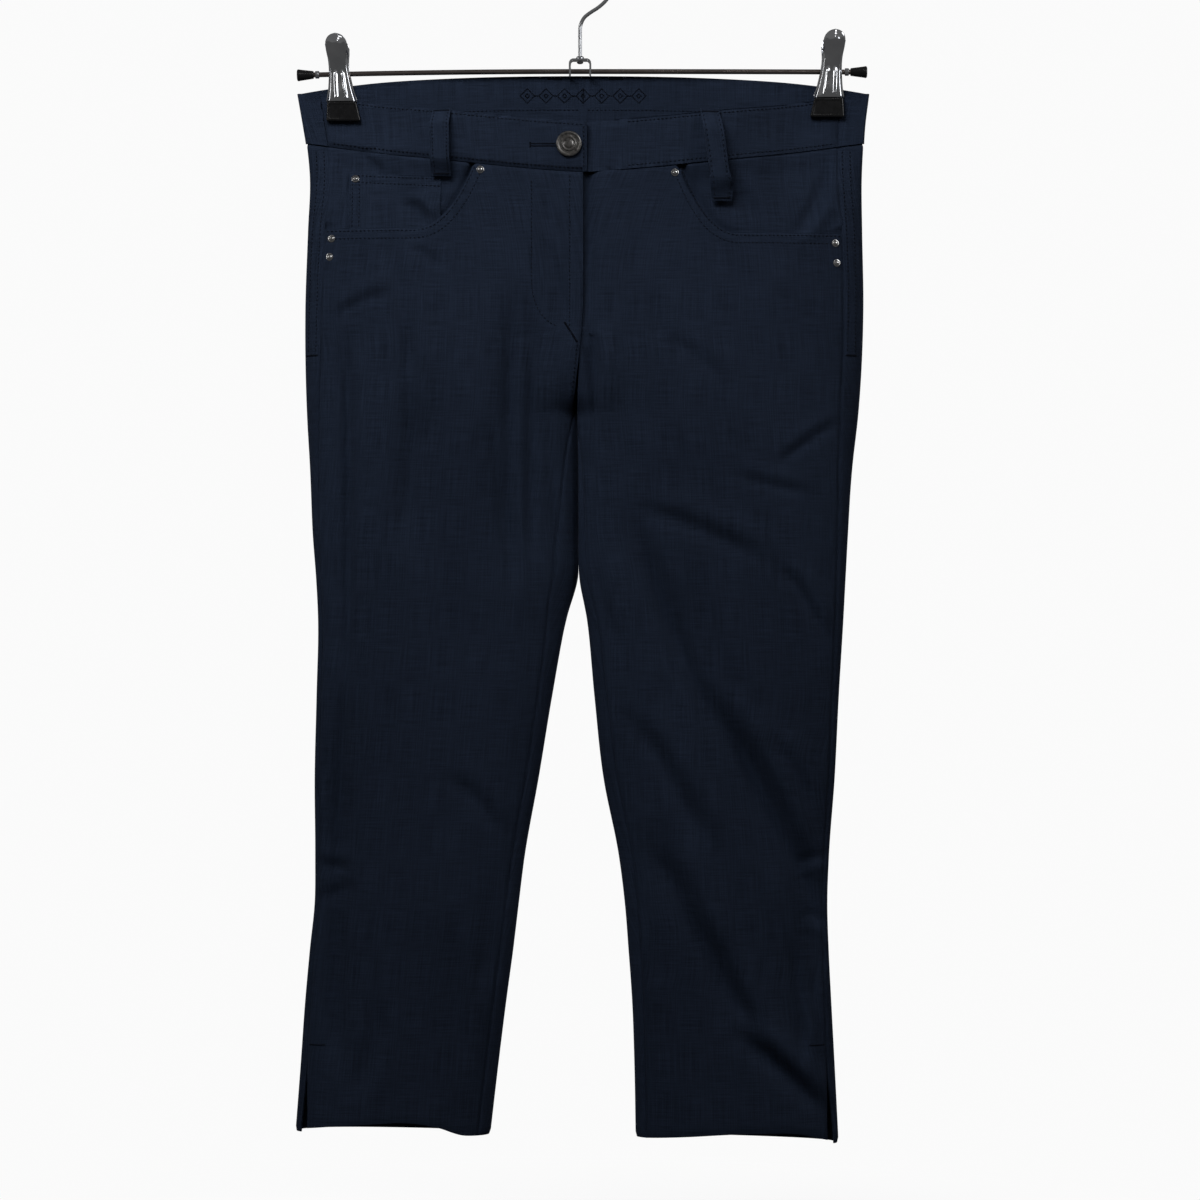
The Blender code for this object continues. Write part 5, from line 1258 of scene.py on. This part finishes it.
def bend_strap(name, path, thickness, low, high, finish, columns=8, along_x=False):
    """A bent metal strap: its middle line as (across, drop) points, with softened edges."""
    path = np.array(path)
    run = np.gradient(path, axis=0)
    normal = np.stack([run[:, 1], -run[:, 0]], axis=1) / np.linalg.norm(run, axis=1)[:, None]
    edge = np.linspace(low, high, columns + 1)[None, :]
    sides = []
    for offset in (thickness / 2, -thickness / 2):
        line = path + normal * offset
        across, drop = (np.repeat(line[:, i:i + 1], columns + 1, axis=1) for i in (0, 1))
        edges = np.repeat(edge, len(path), axis=0)
        sides.append(in_row_frame(edges, across, drop) if along_x else in_row_frame(across, edges, drop))
    return sew_wall(name, sides, finish, edge=min(0.28, thickness * 0.3))


corner = 1.8
bends = [(BRACKET_HALF - corner + corner * sin(a), BRACKET_TOP + corner - corner * cos(a))
         for a in np.linspace(0, pi / 2, 9)]
leg_points = [(BRACKET_HALF + 0.4, drop) for drop in np.linspace(-5.6, -2.8, 4)]
leg_points += [(BRACKET_HALF + 0.2, drop) for drop in np.linspace(-2.0, BRACKET_FOOT, 6)]
right_half = [(x, BRACKET_TOP) for x in np.linspace(1.2, 4.8, 4)] + bends + leg_points
bracket_path = [(-x, drop) for x, drop in reversed(right_half)] + [(0.0, BRACKET_TOP)] + right_half
bracket = bend_strap("hook_strap", bracket_path, STRAP_WALL, -STRAP / 2, STRAP / 2, chrome)
hang_metal(bracket, "chrome", "hook_bracket")

rubber = make_metal("black rubber", (0.0012, 0.0012, 0.0014), (0.0024, 0.0024, 0.0027), 0.24, 0.34,
                    smear=240.0, scratch=1500.0, stretch=1.0, relief=0.00004, metallic=0.0, coat=0.05)
CAP_LENGTH, CAP_OVERLAP, FERRULE_BACK = 12.5, 1.9, 4.2
CAP_PROFILE = [(0.0, 0.3), (2.6, 0.0), (2.9, 0.25), (3.0, 0.8), (3.625, 5.6), (4.25, 10.4), (4.42, 10.9),
               *arc_points(3.3, 11.3, 1.15, 0, 80, 5), (2.0, 12.3), (1.6, 12.1), (0.0, 12.05)]
FERRULE_PROFILE = [(1.95, 0.0), (2.7, 0.0), (2.85, 0.3), (2.85, 2.6), (2.5, 3.0), (1.95, 3.0), (1.95, 0.0)]
for leg in (LEFT, RIGHT):
    end = BAR_ENDS[leg]
    slope = 2 * bar_drop(end) / end
    start = end - leg * (CAP_LENGTH - CAP_OVERLAP)
    aim = Matrix.Rotation(leg * pi / 2 + slope, 4, "Y")
    for name, profile, finish, back, slot, nodes in (
            ("bar_end_", CAP_PROFILE, rubber, 0.0, "black_rubber", ["bar_cap_" + SIDE_NAME[leg]]),
            ("ferrule_", FERRULE_PROFILE, chrome, FERRULE_BACK, "chrome", [])):
        made = turn_on_axis(name + SIDE_NAME[leg], profile, finish, 40)
        at = start - leg * back
        made.data.transform(Matrix.Translation((at * MM, 0.0, (BAR_HEIGHT - bar_drop(at)) * MM)) @ aim)
        hang_metal(made, slot, *nodes)


# ================================================================ the clips
# Each is two pressed and chromed leaves with rolled flanges, a dimpled thumb end and two ribs,
# held apart by a spring band over the bar. Their jaws are sleeved in black rubber.

CLIP_SHIFT, CLIP_LEAN = {LEFT: 0.6, RIGHT: -2.4}, 0.09
END_NAME = {FRONT: "front", BACK: "rear"}
PAD_TOP, PAD_FOOT, PAD_HALF_WIDTH, PAD_THICKNESS = 22.8, 37.6, 13.0, 3.6
PAD_SHOULDER, PAD_SWELL, PAD_ROUND = 2.1, 0.9, 1.3
LEAF_WALL, LEAF_TOP, CROWN_RADIUS = 0.9, -27.6, 8.0
DIMPLE_DROP, RIB_X = -19.4, 2.7
LEAF = np.array([
    # drop, half_width, standoff
    (-27.0, 3.6, 12.6),
    (-25.6, 6.2, 12.8),
    (-22.5, 7.9, 12.8),
    (-16.0, 8.1, 11.6),
    (-8.0, 7.4, 9.2),
    (0.0, 7.6, 7.6),
    (8.0, 8.6, 6.8),
    (15.0, 9.8, 6.3),
    (22.4, 11.6, 5.6),
], dtype=[("drop", float), ("half_width", float), ("standoff", float)])


def clip_place(leg, x, drop):
    """Lean a clip outwards and shift it along its own height."""
    return CLIP_X[leg] + x + leg * CLIP_LEAN * (PAD_TOP - drop), drop + CLIP_SHIFT[leg]


def clip_leaf(leg, face, columns=40, rows=90):
    across = np.linspace(-1.0, 1.0, columns + 1)[:, None]
    down = np.linspace(0.0, 1.0, rows + 1)[None, :] ** 1.15
    drop = LEAF_TOP + (LEAF["drop"][-1] - LEAF_TOP) * down + 0.0 * across
    crown = LEAF_TOP + CROWN_RADIUS
    round_half = CROWN_RADIUS * np.sqrt(np.clip(1 - ((crown - drop) / (CROWN_RADIUS + 0.02)) ** 2, 0.0, 1.0))
    x = across * np.where(drop < crown, round_half, along(LEAF, "half_width", drop))
    flange = smooth_step(np.abs(across), 0.72, 1.0) ** 2 * smooth_step(drop, -20.0, -8.0)
    bend = 0.9 * (1 - across ** 2) - 2.6 * flange
    dimple = np.exp(-((x / 3.6) ** 2 + ((drop - DIMPLE_DROP) / 3.8) ** 2) ** 1.5)
    ribs = sum(np.exp(-((x - rib * (1 + 0.02 * (drop - 4.0))) / 1.05) ** 2) for rib in (-RIB_X, RIB_X))
    ribs = 1.1 * ribs * smooth_step(drop, -1.0, 3.5) * (1 - smooth_step(drop, 19.5, 22.5))
    rim_lip = -0.15 * smooth_step(np.abs(across), 0.8, 1.0) * (1 - smooth_step(drop, -21.0, -16.0))
    out = along(LEAF, "standoff", drop) + bend + dimple + ribs + rim_lip
    x, drop = clip_place(leg, x, drop)
    sides = [in_row_frame(x, face * (out + offset), drop) for offset in (LEAF_WALL / 2, -LEAF_WALL / 2)]
    return sew_wall("clip_leaf_%s_%s" % (SIDE_NAME[leg], END_NAME[face]), sides, chrome, edge=0.22)


def clip_sleeve(leg, face):
    near = BAND_WALL + 0.45 + CLEARANCE
    bm = bmesh.new()
    bmesh.ops.create_cube(bm, size=1.0)
    for vert in bm.verts:
        half_width = PAD_HALF_WIDTH - (PAD_SHOULDER if vert.co.z > 0 else 0.0)
        drop = PAD_TOP + (0.5 - vert.co.z) * (PAD_FOOT - PAD_TOP)
        x, drop = clip_place(leg, vert.co.x * 2 * half_width, drop)
        y = face * (near + (vert.co.y * face + 0.5) * (PAD_THICKNESS + PAD_SWELL))
        vert.co = (x * MM, y * MM, (BAR_HEIGHT - drop) * MM)
    bmesh.ops.recalc_face_normals(bm, faces=bm.faces)
    bmesh.ops.bevel(bm, geom=bm.edges[:], affect="EDGES", offset=PAD_ROUND * MM, segments=5, profile=0.5,
                    material=-1)
    outside = max(bm.faces, key=lambda flat: face * flat.normal.y * flat.calc_area())
    for inset, sunk in ((0.5, 0.0), (0.7, -0.45), (0.5, 0.0)):
        bmesh.ops.inset_individual(bm, faces=[outside], thickness=inset * MM, depth=sunk * MM)
    return finish_mesh("clip_sleeve_%s_%s" % (SIDE_NAME[leg], END_NAME[face]), bm, rubber, 50.0)


def clip_spring(leg):
    radius, foot, half_width = 4.3, 15.0, 4.0
    arch = [(-radius * cos(a), -radius * sin(a)) for a in np.linspace(0, pi, 25)]
    legs = [(radius + 0.3 * t, foot * t) for t in np.linspace(0.12, 1.0, 8)]
    path = [(-across, drop) for across, drop in reversed(legs)] + arch + legs
    middle, shift = clip_place(leg, 0.0, 0.0)
    path = [(across, drop + shift) for across, drop in path]
    return bend_strap("clip_spring_band_" + SIDE_NAME[leg], path, 0.7, middle - half_width,
                      middle + half_width, chrome, columns=4, along_x=True)


for leg, side in SIDE_NAME.items():
    hang_metal(clip_spring(leg), "chrome", "clip_%s_spring" % side)
    for face, end in END_NAME.items():
        hang_metal(clip_leaf(leg, face), "chrome", "clip_%s_leaf_%s" % (side, end))
        hang_metal(clip_sleeve(leg, face), "black_rubber", "clip_%s_pad_%s" % (side, end))


# ================================================================ the studio
# A pale seamless floor and a pale world that only the eye sees at full strength, a high soft key
# in front and another behind, a weak fill, and a small window and a strip for the chrome.

FLOOR_DROP, PALE = 960.0, 0.96


def lay_floor():
    bm = bmesh.new()
    bmesh.ops.create_circle(bm, cap_ends=True, segments=96, radius=40.0,
                            matrix=Matrix.Translation((0, 0, (BAR_HEIGHT - FLOOR_DROP) * MM)))
    paper, tree, shader = new_material("pale paper")
    place = add_node(tree, "TexCoord").outputs["Object"]
    level = add_node(tree, "VectorMath", {"operation": "MULTIPLY"}, {0: place, 1: (1.0, 1.0, 0.0)})
    away = add_node(tree, "VectorMath", {"operation": "LENGTH"}, {0: level.outputs[0]})
    far = add_node(tree, "MapRange", {"interpolation_type": "SMOOTHSTEP"},
                   {"Value": away.outputs["Value"], "From Min": 0.2, "From Max": 0.9})
    seen = add_node(tree, "LightPath").outputs["Is Camera Ray"]
    share = add_math(tree, "MAXIMUM", far.outputs[0], add_math(tree, "SUBTRACT", 1.0, seen))
    strength = add_node(tree, "Mix", links={"Factor": seen, "A": 0.07, "B": PALE})
    glow = add_node(tree, "Emission", links={"Color": (1.0, 1.0, 1.0, 1.0), "Strength": strength.outputs[0]})
    feed(tree, shader, {"Base Color": (0.80, 0.80, 0.81, 1.0), "Roughness": 0.9, "Specular IOR Level": 0.1})
    mixed = add_node(tree, "MixShader", links={0: share, 1: shader.outputs[0], 2: glow.outputs[0]})
    tree.links.new(mixed.outputs[0], tree.nodes["Material Output"].inputs["Surface"])
    finish_mesh("floor", bm, paper)


def hang_light(name, place, size, power, tint=(1.0, 1.0, 1.0), aim=(0.0, 0.0, -0.5), shows=True):
    data = bpy.data.lights.new(name, "AREA")
    data.shape = "RECTANGLE"
    data.size, data.size_y = size
    data.energy = power
    data.color = tint
    lamp = bpy.data.objects.new(name, data)
    lamp.location = place
    lamp.visible_glossy = shows
    lamp.rotation_euler = (Vector(aim) - Vector(place)).to_track_quat("-Z", "Y").to_euler()
    bpy.context.scene.collection.objects.link(lamp)


def light_world():
    world = bpy.data.worlds.new("studio")
    bpy.context.scene.world = world
    world.use_nodes = True
    tree = world.node_tree
    path = add_node(tree, "LightPath").outputs
    shine = add_node(tree, "MapRange", links={"Value": path["Is Glossy Ray"], "To Min": 0.10, "To Max": 0.12})
    strength = add_node(tree, "Mix",
                        links={"Factor": path["Is Camera Ray"], "A": shine.outputs[0], "B": PALE})
    feed(tree, tree.nodes["Background"], {"Color": (1.0, 1.0, 1.0, 1.0), "Strength": strength.outputs[0]})


bpy.context.scene.view_settings.view_transform = "Standard"
lay_floor()
light_world()
hang_light("high key", (-0.4, -1.0, 0.6), (0.8, 0.5), 36.0, tint=(1.0, 0.99, 0.97), aim=(0.0, 0.0, -0.25),
           shows=False)
hang_light("fill", (1.5, -1.0, 0.4), (0.6, 1.2), 10.0, tint=(0.95, 0.97, 1.0))
hang_light("window", (0.5, -2.2, 1.1), (0.35, 0.35), 1.2)
hang_light("left strip", (-1.5, -0.7, 0.2), (0.2, 0.9), 2.5, aim=(0.0, 0.0, -0.2))
hang_light("back light", (0.75, 1.0, 0.6), (0.8, 0.5), 38.0, aim=(0.0, 0.0, -0.25), shows=False)

VIEW_DISTANCE, VIEW_PLANE, VIEW_WIDTH = 2.7, 8.0, 0.9
FRAME_MIDDLE_X, FRAME_MIDDLE_DROP = 15.0, 397.5
camera_data = bpy.data.cameras.new("camera")
camera_data.lens = camera_data.sensor_width * VIEW_DISTANCE / VIEW_WIDTH
camera = bpy.data.objects.new("camera", camera_data)
camera.location = (FRAME_MIDDLE_X * MM, -VIEW_DISTANCE - VIEW_PLANE * MM,
                   (BAR_HEIGHT - FRAME_MIDDLE_DROP) * MM)
camera.rotation_euler = (radians(90), 0.0, 0.0)
bpy.context.scene.collection.objects.link(camera)
bpy.context.scene.camera = camera
